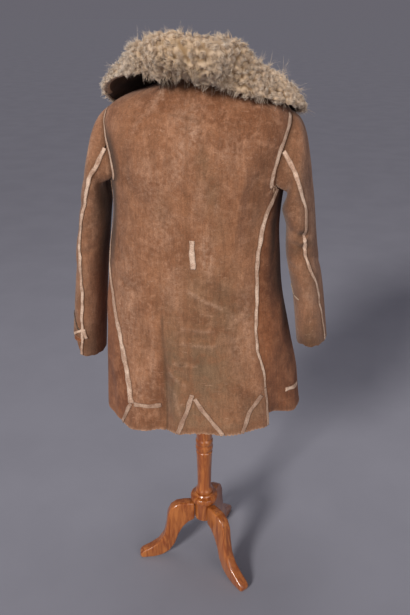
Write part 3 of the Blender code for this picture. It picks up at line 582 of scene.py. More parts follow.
leftSeam = np.array([
    (0.655, 229.0), (0.74, 222.0), (0.82, 216.0), (0.9, 208.5), (0.96, 202.0), (1.02, 196.5), (1.1, 193.5),
    (1.208, 196.0),
])
rightSeam = np.array([
    (0.695, 328.5), (0.75, 328.0), (0.81, 325.5), (0.86, 326.0), (0.9, 328.0), (0.99, 330.0), (1.06, 331.5),
    (1.124, 335.0), (1.208, 344.0),
])
gussetSides = {
    "leftFront": ((0.583, 219.0), (0.655, 229.0)),
    "rightBack": ((0.583, 310.0), (0.645, 317.5), (0.695, 328.5)),
    "rightFront": ((0.583, 328.5), (0.695, 328.5)),
    "centreLeft": ((0.583, 264.0), (0.695, 276.5)),
    "centreRight": ((0.583, 298.0), (0.695, 276.5)),
}
leftGussetFoot = 251.0
leftGussetShare = 5 / 12
centreAngle = 276.5
frontEdge = np.array([
    (0.583, 85.0), (0.9, 87.5), (1.235, 88.6), (1.325, 64.0), (1.415, 45.0), (1.44, 37.0),
])


def straight(points):
    heights, angles = zip(*points)
    return lambda height: float(np.interp(height, heights, angles))


def armholeOffset(turn):
    turn = np.radians(turn)
    span = np.where(np.sin(turn) < 0, coat["armholeBack"], coat["armholeFront"])
    return span * np.sin(turn) + coat["armholeFoot"] * (1 - np.cos(turn)) / 2


def armholeTurn(height):
    share = (height - coat["armholeMiddle"]) / coat["armholeHalf"]
    return math.degrees(math.acos(min(1.0, max(-1.0, share))))


def opened(line, side):
    def edge(height):
        point = plainCoat(line(height), height)
        half = math.degrees(coat["seamGap"] / 2 / float(np.hypot(point[0], point[1])))
        return line(height) + side * half
    return edge


def sideLine(seam, gusset, armholeSide, middle):
    gussetLine = straight(gusset)
    top = gusset[-1][0]

    def line(height):
        if height < top - 0.0001:
            return gussetLine(height)
        if height < coat["armpit"] - 0.0001:
            return float(smoothLine(seam[:, 0], seam[:, 1], height))
        if height < coat["armholeTop"] - 0.0001:
            offset = float(armholeOffset(armholeSide * armholeTurn(height)))
            return middle + (offset if middle > 270 else -offset)
        return middle

    return line


backRightLine = sideLine(rightSeam, gussetSides["rightBack"], -1, 360.0)
frontRightLine = sideLine(rightSeam, gussetSides["rightFront"], 1, 360.0)
backLeftLine = sideLine(leftSeam, gussetSides["leftFront"], -1, 180.0)
frontLeftLine = sideLine(leftSeam, gussetSides["leftFront"], 1, 180.0)
frontEdgeLine = straight(frontEdge)
centreLine = straight(((coat["hem"], centreAngle), (coat["gussetTop"], centreAngle), (coat["neck"], 270.0)))


def centreSide(gusset, side):
    gussetLine = opened(straight(gusset), side)
    return lambda height: centreLine(height) if height > coat["gussetTop"] - 0.0001 else gussetLine(height)


armholeRows = [coat["armholeMiddle"] - coat["armholeHalf"] * math.cos(t) for t in np.linspace(0, math.pi, 41)]
bodyRows = [coat["hem"], coat["hem"] + 0.003] + list(np.linspace(coat["hem"], coat["leftGussetTop"], 15))[1:]
bodyRows += list(np.linspace(coat["leftGussetTop"], coat["gussetTop"], 9))[1:]
bodyRows += list(np.linspace(coat["gussetTop"], coat["armpit"], 96))[1:-1] + armholeRows
bodyRows += list(np.linspace(coat["armholeTop"], coat["neck"], 32))[1:]
bodyRows = [float(row) for row in bodyRows]


# where the suede is rubbed pale or soiled, and where painted shade darkens it: angle, height, half angle,
# half height, strength
rubbedPlaces = (
    (270, 1.372, 15, 0.035, 0.55), (274, 1.335, 11, 0.04, 0.8), (268, 1.3, 8, 0.03, 0.7),
    (262, 1.25, 14, 0.05, 0.4), (239, 1.22, 14, 0.08, 0.3), (250, 1.12, 12, 0.07, 0.35),
    (308, 1.29, 12, 0.06, 0.3), (291, 1.075, 6, 0.05, 0.45), (296, 1.045, 3, 0.04, 0.6),
    (231, 1.4, 3, 0.03, 0.6), (262, 0.975, 12, 0.06, 0.3), (222, 0.9, 12, 0.14, 0.4),
    (312, 0.82, 5, 0.07, 0.35), (321, 0.88, 5, 0.12, 0.35), (234, 0.7, 8, 0.05, 0.35),
    (284, 1.18, 8, 0.06, 0.3),
)
soiledPlaces = (
    (287, 0.76, 26, 0.14, 0.85), (276, 0.64, 28, 0.07, 0.75), (260, 0.74, 12, 0.17, 0.85),
    (305, 0.92, 16, 0.12, 0.6), (285, 0.96, 18, 0.09, 0.5), (286, 1.265, 6, 0.04, 0.55),
    (294, 1.2, 7, 0.06, 0.45), (318, 0.64, 10, 0.05, 0.5), (300, 1.12, 9, 0.05, 0.3),
    (268, 0.777, 2, 0.01, 0.6), (250, 1.16, 8, 0.04, 0.25), (300, 0.6, 20, 0.03, 0.55),
)
# painted shade: on the side panels beside the sleeves, under the collar, along the right seam's fold and
# towards the left sleeve
shadedPlaces = (
    (345, 0.9, 7, 0.24, 0.25), (346, 1.09, 7, 0.11, 0.92), (352, 1.18, 8, 0.06, 0.92),
    (352, 0.76, 6, 0.08, 0.25), (270, 1.437, 60, 0.02, 0.45), (353, 0.985, 13, 0.1, 0.92),
    (356, 0.87, 10, 0.09, 0.85), (333, 1.12, 2.0, 0.14, 0.4), (331, 1.24, 3, 0.045, 0.4),
    (212, 1.08, 12, 0.24, 0.16), (206, 0.9, 10, 0.16, 0.14),
)


# pale scuffs and painted highlights on wrinkle ridges, and painted shade along creases with one dark knot
# mark: from angle and height to angle and height, half width, strength
scuffsAndHighlights = (
    (231.5, 1.416, 239, 1.398, 0.0035, 0.8), (290, 1.078, 291, 1.03, 0.0035, 0.9),
    (296, 1.07, 295, 1.03, 0.003, 0.6), (252, 0.966, 288, 0.955, 0.003, 0.35),
    (298, 1.182, 299, 1.165, 0.004, 0.5), (262, 0.7, 268, 0.61, 0.006, 0.3),
    (268, 1.345, 276, 1.365, 0.006, 0.6), (264, 1.295, 272, 1.325, 0.006, 0.6),
    (222, 1.33, 233, 1.41, 0.007, 0.3), (276, 1.3, 283, 1.34, 0.005, 0.4),
    (244, 0.9, 243, 0.7, 0.008, 0.3), (270, 0.872, 297, 0.868, 0.004, 0.4),
    (270, 0.832, 298, 0.828, 0.004, 0.4), (262, 0.779, 281, 0.776, 0.004, 0.4),
    (258, 0.75, 271, 0.72, 0.004, 0.4), (274, 0.972, 304, 0.928, 0.0045, 0.6),
    (309, 0.91, 321, 0.89, 0.005, 0.5),
)
darkLines = (
    (250.5, 1.371, 283, 1.359, 0.0035, 0.35), (331, 1.278, 328, 1.059, 0.007, 0.35),
    (267, 0.777, 270, 0.777, 0.005, 0.6), (300, 0.99, 330, 0.95, 0.005, 0.2),
    (284, 0.99, 304, 0.96, 0.004, 0.25), (212, 1.15, 226, 1.08, 0.005, 0.2),
    (206, 0.985, 232, 0.95, 0.005, 0.2),
)


def lineMarks(lines, angle, height):
    total = np.zeros(np.shape(angle))
    for *ends, half, strength in lines:
        total = np.maximum(total, strength * np.exp(-(offLine(angle, height, *ends)[1] / half) ** 2))
    return total


def blobs(places, angle, height):
    total = np.zeros(np.shape(angle))
    for middle, level, halfAngle, halfHeight, strength in places:
        off = (turnBetween(angle, middle) / halfAngle) ** 2 + ((height - level) / halfHeight) ** 2
        total = np.maximum(total, strength * np.exp(-off))
    return total


leftEdge = [backLeftLine(row) for row in bodyRows]
shortHem = {"angle": 328.5, "span": 24.0, "rise": 0.034}


def coatValues(angle, height, border):
    side = border * coat["metresPerDegree"]
    above = np.abs(height - coat["hem"])
    # painted shade that grows with a crease's depth
    creaseShade = np.clip(-creaseDepth(angle, height) / 0.006, 0, 1)
    # the fold left of the middle parts clean suede from soiled, and painted shade runs just right of it;
    # painted shadow also lies on the back beside the left sleeve
    past = turnBetween(angle, 251.5)
    low = easeStep((0.93 - height) / 0.05)
    clean = low * easeStep((1.0 - past) / 2.5)
    foldShade = 0.5 * low * np.exp(-((past - 1.2) / 1.3) ** 2)
    beside = turnBetween(angle, np.interp(height, bodyRows, leftEdge))
    under = easeStep((height - 0.93) / 0.14) * easeStep((1.35 - height) / 0.05)
    foldShade = np.maximum(foldShade, 0.88 * under * easeStep((13.5 - beside) / 7.0))
    hemLine = np.exp(-(above / 0.004) ** 2)
    # pale marks are wear, the raw hem line and painted highlights; dark marks are painted shade
    wornAndLit = [blobs(rubbedPlaces, angle, height), lineMarks(scuffsAndHighlights, angle, height), hemLine]
    dark = [blobs(shadedPlaces, angle, height), lineMarks(darkLines, angle, height), 0.45 * creaseShade, foldShade]
    return {
        "rub": np.max(wornAndLit, axis=0),
        "soil": blobs(soiledPlaces, angle, height) * (1 - clean),
        "shade": np.max(dark, axis=0),
        "edge": 0.8 * np.exp(-(np.minimum(side, np.abs(above - 0.012)) / 0.008) ** 2),
    }


def onCoat(angle, height, layer):
    # the cut hem is a little uneven
    ragged = 0.0012 * np.sin(2.7 * angle) + 0.001 * np.sin(6.1 * angle + 1.0)
    ragged = ragged + 0.0008 * np.sin(11.3 * angle + 2.0)
    low = easeStep((coat["hem"] + 0.012 - height) / 0.012)
    return coatFace(angle, height + ragged * low, coat["wall"] * (layer - 1.0))


def onFront(angle, height, layer):
    # beside the right back seam the side panel's hem hangs shorter than the back's
    beside = easeStep(1 - np.abs(turnBetween(angle, shortHem["angle"])) / shortHem["span"])
    low = easeStep((coat["gussetTop"] - height) / (coat["gussetTop"] - coat["hem"]))
    return onCoat(angle, height + shortHem["rise"] * beside * low, layer)


upperLeft = opened(backLeftLine, 1)(coat["leftGussetTop"])
upperRight = centreSide(gussetSides["centreLeft"], -1)(coat["leftGussetTop"])
notchCorner = upperLeft + (upperRight - upperLeft) * leftGussetShare
gussetSides["leftBack"] = ((coat["hem"], leftGussetFoot), (coat["leftGussetTop"], notchCorner))
lowRows = [row for row in bodyRows if row < coat["leftGussetTop"] + 0.0001]
highRows = [row for row in bodyRows if row > coat["leftGussetTop"] - 0.0001]
panelSkins = [backSuede, innerPile, rawEdge]
frontSkins = [frontSuede, innerPile, rawEdge]

backPanel = wrapSheet("back_panel", "suede", "back", (
    (opened(backLeftLine, 1), centreSide(gussetSides["centreLeft"], -1), coat["columns"], highRows),
    (straight(gussetSides["leftBack"]), centreSide(gussetSides["centreLeft"], -1),
     round(coat["columns"] * (1 - leftGussetShare)), lowRows),
    (centreSide(gussetSides["centreRight"], 1), opened(backRightLine, -1), coat["columns"], bodyRows),
), onCoat, coatValues, panelSkins)
rightFront = wrapSheet("front_panel_right", "side_suede", "front_right", (
    (opened(frontRightLine, 1), lambda height: 360.0 + frontEdgeLine(height), coat["frontColumns"], bodyRows),
), onFront, coatValues, frontSkins)
leftFront = wrapSheet("front_panel_left", "side_suede", "front_left", (
    (lambda height: 180.0 - frontEdgeLine(height), opened(frontLeftLine, -1), coat["frontColumns"], bodyRows),
), onCoat, coatValues, frontSkins)


def gussetPiece(name, node, left, right, top, columns, under):
    rows = [row for row in bodyRows if row < top - under] + [top - under]
    lines = (opened(straight(gussetSides[left]), 1), opened(straight(gussetSides[right]), -1))
    return wrapSheet(name, "suede", node, ((*lines, columns, rows),), onCoat, coatValues, panelSkins)


lowTop, highTop = coat["leftGussetTop"], coat["gussetTop"]
gussets = (
    gussetPiece("gusset_left", "gusset_back_left", "leftFront", "leftBack", lowTop, 28, 0.0005),
    gussetPiece("gusset_centre", "gusset_back_centre", "centreLeft", "centreRight", highTop, 28, 0.006),
    gussetPiece("gusset_right", "gusset_back_right", "rightBack", "rightFront", highTop, 16, 0.006),
)
print("coat panels and gussets made")


# sleeves

sleeve = {"blend": 0.3, "run": 0.24, "fall": 0.12, "gap": 0.0009, "girth": 0.036, "columns": 30, "rows": 126,
          "corner": 0.075}
# share of the length, out from the middle, height, half across, half fore and aft, tilt, underside's set back
rightStations = np.array([
    (0.00, 0.206, 1.29, 0.078, 0.062, 4, 0.05),
    (0.12, 0.214, 1.258, 0.062, 0.065, 17, 0.036),
    (0.25, 0.227, 1.205, 0.045, 0.079, 38, 0.026),
    (0.38, 0.237, 1.138, 0.0369, 0.081, 62, 0.01),
    (0.55, 0.246, 1.043, 0.0385, 0.078, 79, 0.000),
    (0.72, 0.265, 0.952, 0.038, 0.073, 82, 0.000),
    (1.00, 0.286, 0.807, 0.039, 0.066, 82, 0.000),
])
leftStations = np.array([
    (0.00, 0.236, 1.29, 0.078, 0.062, 3, 0.05),
    (0.12, 0.249, 1.258, 0.064, 0.065, 11, 0.036),
    (0.25, 0.265, 1.203, 0.046, 0.079, 29, 0.026),
    (0.38, 0.281, 1.133, 0.033, 0.081, 62, 0.01),
    (0.55, 0.297, 1.023, 0.034, 0.078, 77, 0.000),
    (0.75, 0.315, 0.875, 0.0382, 0.074, 79, 0.000),
    (1.00, 0.333, 0.713, 0.044, 0.068, 77, 0.000),
])
# share of the length, turn round the sleeve, half length, half turn, depth
rightSleeveFolds = (
    (0.28, -175, 0.14, 80, 0.008),
    (0.45, -74, 0.022, 46, -0.006), (0.5, -88, 0.02, 44, -0.005), (0.476, -62, 0.014, 34, 0.004),
    (0.51, -88, 0.12, 60, -0.009), (0.39, -80, 0.1, 60, 0.003), (0.66, -70, 0.1, 60, 0.005),
    (0.48, 60, 0.1, 50, -0.006), (0.46, -70, 0.03, 70, -0.004), (0.55, -60, 0.026, 60, -0.0036),
    (0.6, -110, 0.03, 50, -0.003), (0.42, -110, 0.024, 50, -0.0026), (0.3, -90, 0.04, 50, -0.003),
    (0.78, -50, 0.04, 50, -0.003), (0.88, -90, 0.05, 50, -0.0026), (0.22, 30, 0.05, 50, -0.003),
    (0.52, 100, 0.03, 60, -0.004), (0.45, 110, 0.03, 60, -0.0034), (0.62, 10, 0.04, 50, -0.0024),
)
leftSleeveFolds = (
    (0.38, -170, 0.3, 80, 0.0095),
    (0.33, -95, 0.1, 60, -0.006), (0.56, -60, 0.1, 50, 0.004), (0.75, -100, 0.1, 60, -0.005),
    (0.5, 60, 0.1, 50, -0.006), (0.38, -60, 0.03, 60, -0.0034), (0.47, -80, 0.03, 60, -0.003),
    (0.55, -110, 0.03, 60, -0.003), (0.64, -60, 0.04, 50, -0.0024), (0.28, -70, 0.03, 50, -0.003),
    (0.84, -70, 0.04, 60, -0.0026), (0.22, -20, 0.05, 50, -0.003), (0.46, 100, 0.03, 60, -0.0036),
    (0.54, 110, 0.03, 60, -0.0034), (0.66, 20, 0.04, 50, -0.0022),
)
rightSleeveSeam = np.array([
    (0.00, -90), (0.14, -96), (0.24, -78), (0.34, -61), (0.42, -62), (0.5, -67), (0.58, -62), (0.7, -46),
    (1.00, -26),
])
leftSleeveSeam = np.array([
    (0.00, -90), (0.14, -108), (0.24, -98), (0.38, -82), (0.52, -74), (0.66, -86), (0.82, -92), (1.00, -94),
])


def sleeveSurface(stations, folds, side):
    middle = 360.0 if side > 0 else 180.0

    def surface(turn, share):
        turn = np.asarray(turn, float)
        share = np.asarray(share, float)
        out, height, across, fore, tilt, foot = columnsAt(stations, share)
        cosine = np.cos(np.radians(turn))
        sine = np.sin(np.radians(turn))
        lean = np.radians(tilt)
        deep = np.zeros(np.broadcast(turn, share).shape)
        for place, roundTurn, halfLength, halfTurn, depth in folds:
            slant = 0.0006 * turnBetween(turn, roundTurn) * (1 if depth < -0.0027 else -1)
            narrow = halfLength < 0.06
            along = np.clip((share - place - slant * narrow) / halfLength, -1, 1)
            around = np.clip(turnBetween(turn, roundTurn) / halfTurn, -1, 1)
            deep = deep + depth * np.cos(along * math.pi / 2) ** 2 * np.cos(around * math.pi / 2) ** 2
        reach = (across + deep) * cosine
        ring = np.stack([
            side * (out + reach * np.sin(lean)),
            (fore + deep) * sine - foot * (1 - cosine) / 2,
            height + reach * np.cos(lean),
        ], -1)
        inner = armholeOffset(turn) * 0.994
        angle = middle + inner if side > 0 else middle - inner
        start = plainCoat(angle, coat["armholeMiddle"] + (coat["armholeHalf"] - 0.0003) * cosine)
        start = start + np.stack([side * sleeve["run"] * share, 0 * share, -sleeve["fall"] * share], -1)
        return start + (ring - start) * easeStep(share / sleeve["blend"])[..., None]

    def laid(turn, share, out):
        return movedOut(surface, turn, share, np.asarray(out) * -side, 1.0, 0.004)[0]

    return laid


rightSleeve = sleeveSurface(rightStations, rightSleeveFolds, 1)
leftSleeve = sleeveSurface(leftStations, leftSleeveFolds, -1)
# turn, share of the length, half turn, half share, strength
# soil on the cuffs and arms, with painted shade in the right elbow creases and on the left sleeve's side
# towards the body
sleeveSoilAndShade = {
    "right": ((-95, 0.95, 40, 0.12, 0.8), (-85, 0.51, 50, 0.03, 0.75), (-60, 0.55, 30, 0.02, 0.45),
              (-120, 0.2, 40, 0.12, 0.4), (-120, 0.7, 30, 0.15, 0.4), (-80, 0.66, 50, 0.22, 0.22)),
    "left": ((-120, 0.93, 40, 0.1, 0.4), (-168, 0.55, 24, 0.4, 0.45), (-145, 0.3, 22, 0.12, 0.4)),
}
sleeveRub = {
    "right": ((-60, 0.3, 30, 0.1, 0.4), (-70, 0.72, 30, 0.08, 0.35), (-30, 0.42, 30, 0.08, 0.3)),
    "left": ((-60, 0.25, 30, 0.08, 0.4), (-50, 0.45, 30, 0.1, 0.35), (-40, 0.7, 30, 0.1, 0.3)),
}
# painted shade in the right elbow creases and on the sides towards the body, darker bands at the cuffs, and
# the left sleeve's darker brown outer half
sleeveDark = {
    "right": ((-72, 0.445, 24, 0.014, 0.7), (-66, 0.5, 22, 0.016, 0.7), (-100, 0.47, 26, 0.014, 0.4),
              (-95, 0.985, 60, 0.03, 0.45), (-165, 0.3, 30, 0.16, 0.6)),
    "left": ((-160, 0.3, 24, 0.16, 0.85), (-168, 0.56, 18, 0.22, 0.6), (-24, 0.42, 30, 0.3, 0.28),
             (-110, 0.96, 50, 0.05, 0.3)),
}


def sleeveHalf(name, node, laid, seam, upper, side):
    gap = math.degrees(sleeve["gap"] / 2 / sleeve["girth"])

    def turnAt(across, along):
        start = columnsAt(seam, along)[0]
        turn = start + (90 - start) * across if upper else 90 + (270 + start) * across
        wide = gap * (1 + easeStep((0.25 - along) / 0.15))
        return turn + wide * (across < 0.001) - wide * (across > 0.999)

    def place(across, along, layer):
        # the cuff's edge is ragged, with a notch at the right and a corner gone at the left
        turn = turnAt(across, along)
        ragged = 0.0012 * np.sin(0.21 * turn + side) + 0.001 * np.sin(0.57 * turn)
        ragged = ragged + 0.0008 * np.sin(1.3 * turn)
        ragged = ragged - 0.012 * (side > 0) * np.exp(-(turnBetween(turn, -118) / 9) ** 2)
        share = along + ragged * easeStep((along - 0.96) / 0.04)
        corner = easeStep((turn + 98) / 36) * easeStep((110 - turn) / 50)
        share = share - sleeve["corner"] * (side < 0) * corner * easeStep((along - 0.7) / 0.3)
        return laid(turn, share, coat["wall"] * (layer - 1.0))

    def values(across, along, border):
        turn = turnAt(across, along)
        word = "right" if side > 0 else "left"
        near = np.minimum(border * 0.12, (1 - along) * 0.5)
        return {
            "soil": blobs(sleeveSoilAndShade[word], turn, along),
            "rub": blobs(sleeveRub[word], turn, along),
            # painted shade where the sleeve joins the armhole, with the sleeveDark marks
            "shade": np.maximum(0.5 * np.exp(-(along / 0.03) ** 2), blobs(sleeveDark[word], turn, along)),
            "edge": 0.8 * np.exp(-(near / 0.01) ** 2),
        }

    rows = np.concatenate([np.linspace(0, 0.2, 38)[:-1], np.linspace(0.2, 1.0, sleeve["rows"] - 37)])
    band = (lambda share: 0.0, lambda share: 1.0, sleeve["columns"], rows)
    return wrapSheet(name, "sleeve_suede", node, (band,), place, values, [sleeveSuede, innerPile, rawEdge])


sleeves = (
    sleeveHalf("sleeve_outer_right", "sleeve_right_upper", rightSleeve, rightSleeveSeam, True, 1),
    sleeveHalf("sleeve_inner_right", "sleeve_right_under", rightSleeve, rightSleeveSeam, False, 1),
    sleeveHalf("sleeve_outer_left", "sleeve_left_upper", leftSleeve, leftSleeveSeam, True, -1),
    sleeveHalf("sleeve_inner_left", "sleeve_left_under", leftSleeve, leftSleeveSeam, False, -1),
)
print("sleeves made")


# pale strips over the seams, with a row of stitches along each edge

strip = {"width": 0.012, "wall": 0.0012, "lift": 0.0009, "step": 0.004, "stitch": 0.0048,
         "stitchLong": 0.0034, "stitchThick": 0.00042, "stitchIn": 0.36}
stitchPaths = []


def stripPiece(name, node, laid, path, width=strip["width"], lift=strip["lift"], skin=stripLeather):
    first, second = np.asarray(path, float)
    length = lengthAlong(laid(first, second, np.zeros_like(first)))
    at = np.linspace(0, length[-1], max(4, round(length[-1] / strip["step"])) + 1)
    first = np.interp(at, length, first)
    second = np.interp(at, length, second)
    none = np.zeros_like(first)
    points = laid(first, second, none)
    byFirst = laid(first + 0.5, second, none) - laid(first - 0.5, second, none)
    bySecond = (laid(first, second + 0.002, none) - laid(first, second - 0.002, none)) / 0.004
    normal = unit(laid(first, second, none + 0.001) - points)
    sideways = unit(np.cross(unit(np.gradient(points, axis=0)), normal))
    # how far to go on the surface for a step sideways
    steps = np.array([np.linalg.lstsq(np.stack([one, two], -1), aim, rcond=None)[0]
                      for one, two, aim in zip(byFirst, bySecond, sideways)])
    share = np.array([-0.5, -0.47, -0.38, -0.2, 0.0, 0.2, 0.38, 0.47, 0.5])
    crown = np.array([0.35, 0.85, 0.7, 1.0, 1.05, 1.0, 0.7, 0.85, 0.35])
    # uneven hand cut width and a wavy run
    wide = np.interp(at / at[-1], (0, 1), np.broadcast_to(width, 2))
    wide = wide * (1 + 0.1 * np.sin(90 * at + len(name)) + 0.07 * np.sin(213 * at + 1.0))
    wave = 0.0008 * np.sin(52 * at + 2 * len(name)) + 0.0006 * np.sin(127 * at + len(name))
    shift = share * wide[:, None] + wave[:, None]
    one = first[:, None] + steps[:, :1] * shift
    two = second[:, None] + steps[:, 1:] * shift
    ripple = 0.00012 * np.sin(700 * at)[:, None]
    top = laid(one.ravel(), two.ravel(), (lift + strip["wall"] * crown + ripple).ravel())
    under = laid(one.ravel(), two.ravel(), np.full(one.size, lift))
    edge = np.tile(np.exp(-((0.5 - np.abs(share)) / 0.09) ** 2), len(at))
    quads = gridQuads(np.arange(one.size).reshape(one.shape))
    piece = wallPiece(name, top, under, quads, [skin], (0, 0, 0), {"edge": edge})
    settle(piece, "strip_leather", *([node] if node else []))
    for sideShare in (-strip["stitchIn"], strip["stitchIn"]):
        aside = wide * sideShare + wave
        high = none + lift + strip["wall"] * 0.78
        line = laid(first + steps[:, 0] * aside, second + steps[:, 1] * aside, high)
        stitchPaths.append((line, normal))


def seamPath(line, low, high):
    rows = np.linspace(low, high, max(6, round((high - low) / 0.006)))
    return [line(row) for row in rows], rows


def shortPath(start, end, count=24):
    return np.linspace(start, end, count).T


def armholePath(side):
    rows = np.linspace(coat["armpit"] + 0.003, coat["armholeTop"] - 0.004, 40)
    turns = np.array([armholeTurn(row) for row in rows])
    slant = 0.0085 / np.maximum(np.sin(np.radians(turns)), 0.6)
    offset = armholeOffset(-turns) - np.degrees(slant / 0.2)
    angles = 360 + offset if side > 0 else 180 - offset
    return angles, rows


def sleevePath(seam, start):
    shares = np.linspace(start, 0.994, 120)
    return columnsAt(seam, shares)[0], shares


hem = coat["hem"] + 0.001
seamTop = coat["armpit"] - 0.003
gussetLine = {key: straight(points) for key, points in gussetSides.items()}
soiled = (strip["lift"], soiledStrip)
wide = strip["width"]
armWidths = (0.0108, 0.0066)
# piece, node, surface, path on it, width or the two ends' widths, lift, leather
for stripRow in (
    ("seam_strip_left", "strip_back_left", coatFace,
     seamPath(backLeftLine, 0.6555, seamTop), (0.0205, 0.0095)),
    ("seam_strip_right", "strip_back_right", coatFace,
     seamPath(backRightLine, 0.6955, seamTop), (0.0064, 0.013)),
    ("gusset_strip_left_side", "strip_gusset_left_front", coatFace,
     seamPath(gussetLine["leftFront"], hem, 0.6535), wide, *soiled),
    ("gusset_strip_left_top", "strip_gusset_left_back", coatFace,
     shortPath((231.2, lowTop), (notchCorner + 1.5, lowTop)), wide, *soiled),
    ("gusset_strip_centre_left", "strip_gusset_centre_left", coatFace,
     seamPath(gussetLine["centreLeft"], hem, 0.696), wide, *soiled),
    ("gusset_strip_centre_right", "strip_gusset_centre_right", coatFace,
     seamPath(gussetLine["centreRight"], hem, 0.6845), wide, *soiled),
    ("gusset_strip_right_back", "strip_gusset_right_back", coatFace,
     seamPath(gussetLine["rightBack"], hem, 0.6795), wide, *soiled),
    ("gusset_strip_right_front", "strip_gusset_right_front", coatFace,
     seamPath(gussetLine["rightFront"], hem, 0.6945), 0.0072, *soiled),
    ("side_strip_right", "strip_side_right", coatFace, shortPath((346.0, 0.656), (357.0, 0.65))),
    ("back_patch", "patch_back", coatFace, shortPath((279.0, 1.094), (280.8, 1.024)), 0.014),
    ("armhole_strip_right", "strip_armhole_right", coatFace, armholePath(1), 0.011),
    ("armhole_strip_left", "strip_armhole_left", coatFace, armholePath(-1), 0.011),
    ("sleeve_strip_right", "strip_sleeve_right", rightSleeve,
     sleevePath(rightSleeveSeam, 0.004), armWidths, 0.0014),
    ("sleeve_strip_left", "strip_sleeve_left", leftSleeve,
     sleevePath(leftSleeveSeam, 0.025), armWidths, 0.0014),
    # small pieces on the cuffs
    # a dark leather strip painted as the shade inside the cuff's slit
    ("cuff_slit_left", "", leftSleeve,
     shortPath((-32, 0.82), (-84, 0.882), 12), 0.0045, 0.001, collarLeather),
    ("cuff_strip_left", "", leftSleeve, shortPath((-56, 0.912), (-98, 0.866), 12), 0.008, 0.0016),
    ("cuff_end_left", "", leftSleeve, shortPath((-100, 0.868), (-108, 0.912), 12), 0.008, 0.0016),
    ("cuff_tab_left", "", leftSleeve, shortPath((-60, 0.92), (-100, 0.922), 12), 0.014, 0.0012, frontSuede),
    ("mend_right_upright", "", rightSleeve,
     shortPath((-152, 0.69), (-140, 0.735), 12), 0.0045, 0.001, rawEdge),
    ("mend_right_level", "", rightSleeve,
     shortPath((-139, 0.738), (-116, 0.748), 12), 0.0045, 0.001, rawEdge),
):
    stripPiece(*stripRow)


def sewStitches():
    points, faces = [], []
    ring = np.array([(1.0, 0.0), (0.0, 1.0), (-1.0, 0.0), (0.0, -0.6)]) * strip["stitchThick"]
    for line, normals in stitchPaths:
        length = lengthAlong(line)
        for start in np.arange(0.002, length[-1] - strip["stitchLong"], strip["stitch"]):
            reach = [start, start + strip["stitchLong"]]
            ends = np.array([np.interp(reach, length, line[:, k]) for k in range(3)]).T
            normal = np.array([np.interp(start, length, normals[:, k]) for k in range(3)])
            side = unit(np.cross(unit(ends[1] - ends[0]), normal))
            count = len(points)
            for share, thin in ((0.0, 0.45), (0.5, 1.0), (1.0, 0.45)):
                middle = ends[0] + (ends[1] - ends[0]) * share
                points.extend(middle + side * a * thin + normal * b * thin for a, b in ring)
            for a in range(count, count + 8):
                b = a + 1 if (a - count) % 4 < 3 else a - 3
                faces.append((a, b, b + 4, a + 4))
            faces.append((count + 3, count + 2, count + 1, count))
            faces.append((count + 8, count + 9, count + 10, count + 11))
    settle(meshPiece("strip_stitches", np.array(points), faces, [sewingThread]), "strip_leather")


sewStitches()
print("strips sewn on")


# collar: dark leather underneath, wool on top

collar = {"wall": 0.0025, "gap": 0.0014, "overhang": 0.004, "inset": 0.012, "seam": 0.0003}
# angle at the neck, angle and height under the free edge, lift of the edge, stand, wool depth
collarRows = np.array([
    (440.0, 417, 1.236, 0.007, 0.012, 0.018),
    (424.0, 398, 1.285, 0.009, 0.016, 0.022),
    (402.0, 377, 1.345, 0.011, 0.024, 0.026),
    (380.0, 365, 1.364, 0.015, 0.028, 0.03),
    (358.0, 353, 1.374, 0.02, 0.032, 0.034),
    (335.0, 340, 1.388, 0.018, 0.035, 0.031),
    (305.0, 310, 1.414, 0.034, 0.076, 0.032),
    (270.0, 270, 1.431, 0.05, 0.098, 0.033),
    (235.0, 230, 1.419, 0.054, 0.072, 0.032),
    (205.0, 204, 1.4, 0.052, 0.047, 0.028),
    (182.0, 186, 1.384, 0.032, 0.036, 0.025),
    (160.0, 174, 1.372, 0.021, 0.03, 0.024),
    (138.0, 162, 1.35, 0.018, 0.024, 0.024),
    (116.0, 142, 1.285, 0.01, 0.016, 0.022),
    (100.0, 123, 1.236, 0.007, 0.012, 0.018),
])
collarRows = np.column_stack([np.linspace(0, 1, len(collarRows)), collarRows])


def collarLeaf(along, across):
    neckAngle, edgeAngle, edgeHeight, lift, stand = columnsAt(collarRows, along)[:5]
    right = neckAngle > 270
    turn = np.where(right, neckAngle - 360, 180 - neckAngle)
    neckHeight = np.interp(turn, frontEdge[:1:-1, 1], frontEdge[:1:-1, 0])
    ahead = np.clip((turn - frontEdge[-1, 1]) / 3, 0, 1)
    turn = turn + np.degrees(collar["gap"] / 0.075) * ahead
    neckAngle = np.where(right, 360 + turn, 180 - turn)
    neckHeight = neckHeight + collar["gap"] / 2 * (1 - ahead)
    foot, normal = movedOut(plainCoat, neckAngle, neckHeight, np.zeros_like(neckAngle), 0.5, 0.002)
    edge = movedOut(plainCoat, edgeAngle, edgeHeight, lift, 0.5, 0.002)[0]
    rise = normal * np.asarray(stand)[..., None]
    inner = foot + rise * 1.33
    outer = edge + (foot - edge) * 0.3 + rise * 0.95
    t = np.asarray(across, float)[..., None]
    near = foot * (1 - t) ** 3 + inner * 3 * t * (1 - t) ** 2
    return near + outer * 3 * t * t * (1 - t) + edge * t ** 3


def collarPoint(along, across, out):
    return movedOut(collarLeaf, along, across, out, 0.004, 0.01)[0]


def collarRipple(across, along):
    return 0.0012 * np.sin(60 * along + 4 * across) * easeStep((across - 0.4) / 0.6)


def onCollar(across, along, layer):
    return collarPoint(along, across, collar["wall"] * layer + collarRipple(across, along))


# along the collar where the free edge stands off and its cut edge shows
bareEdge = (0.56, 0.8)
clump = {"apart": 0.0112, "radius": 0.0088, "dome": 0.0068, "tries": 50000}
# where the wool lies flatter
thinSpans = ((0.27, 0.12, 1.5), (0.72, 0.09, 1.6))


def spanOf(spans, along):
    marks = [strength * np.exp(-((along - middle) / half) ** 2) for middle, half, strength in spans]
    return np.max(marks, axis=0)


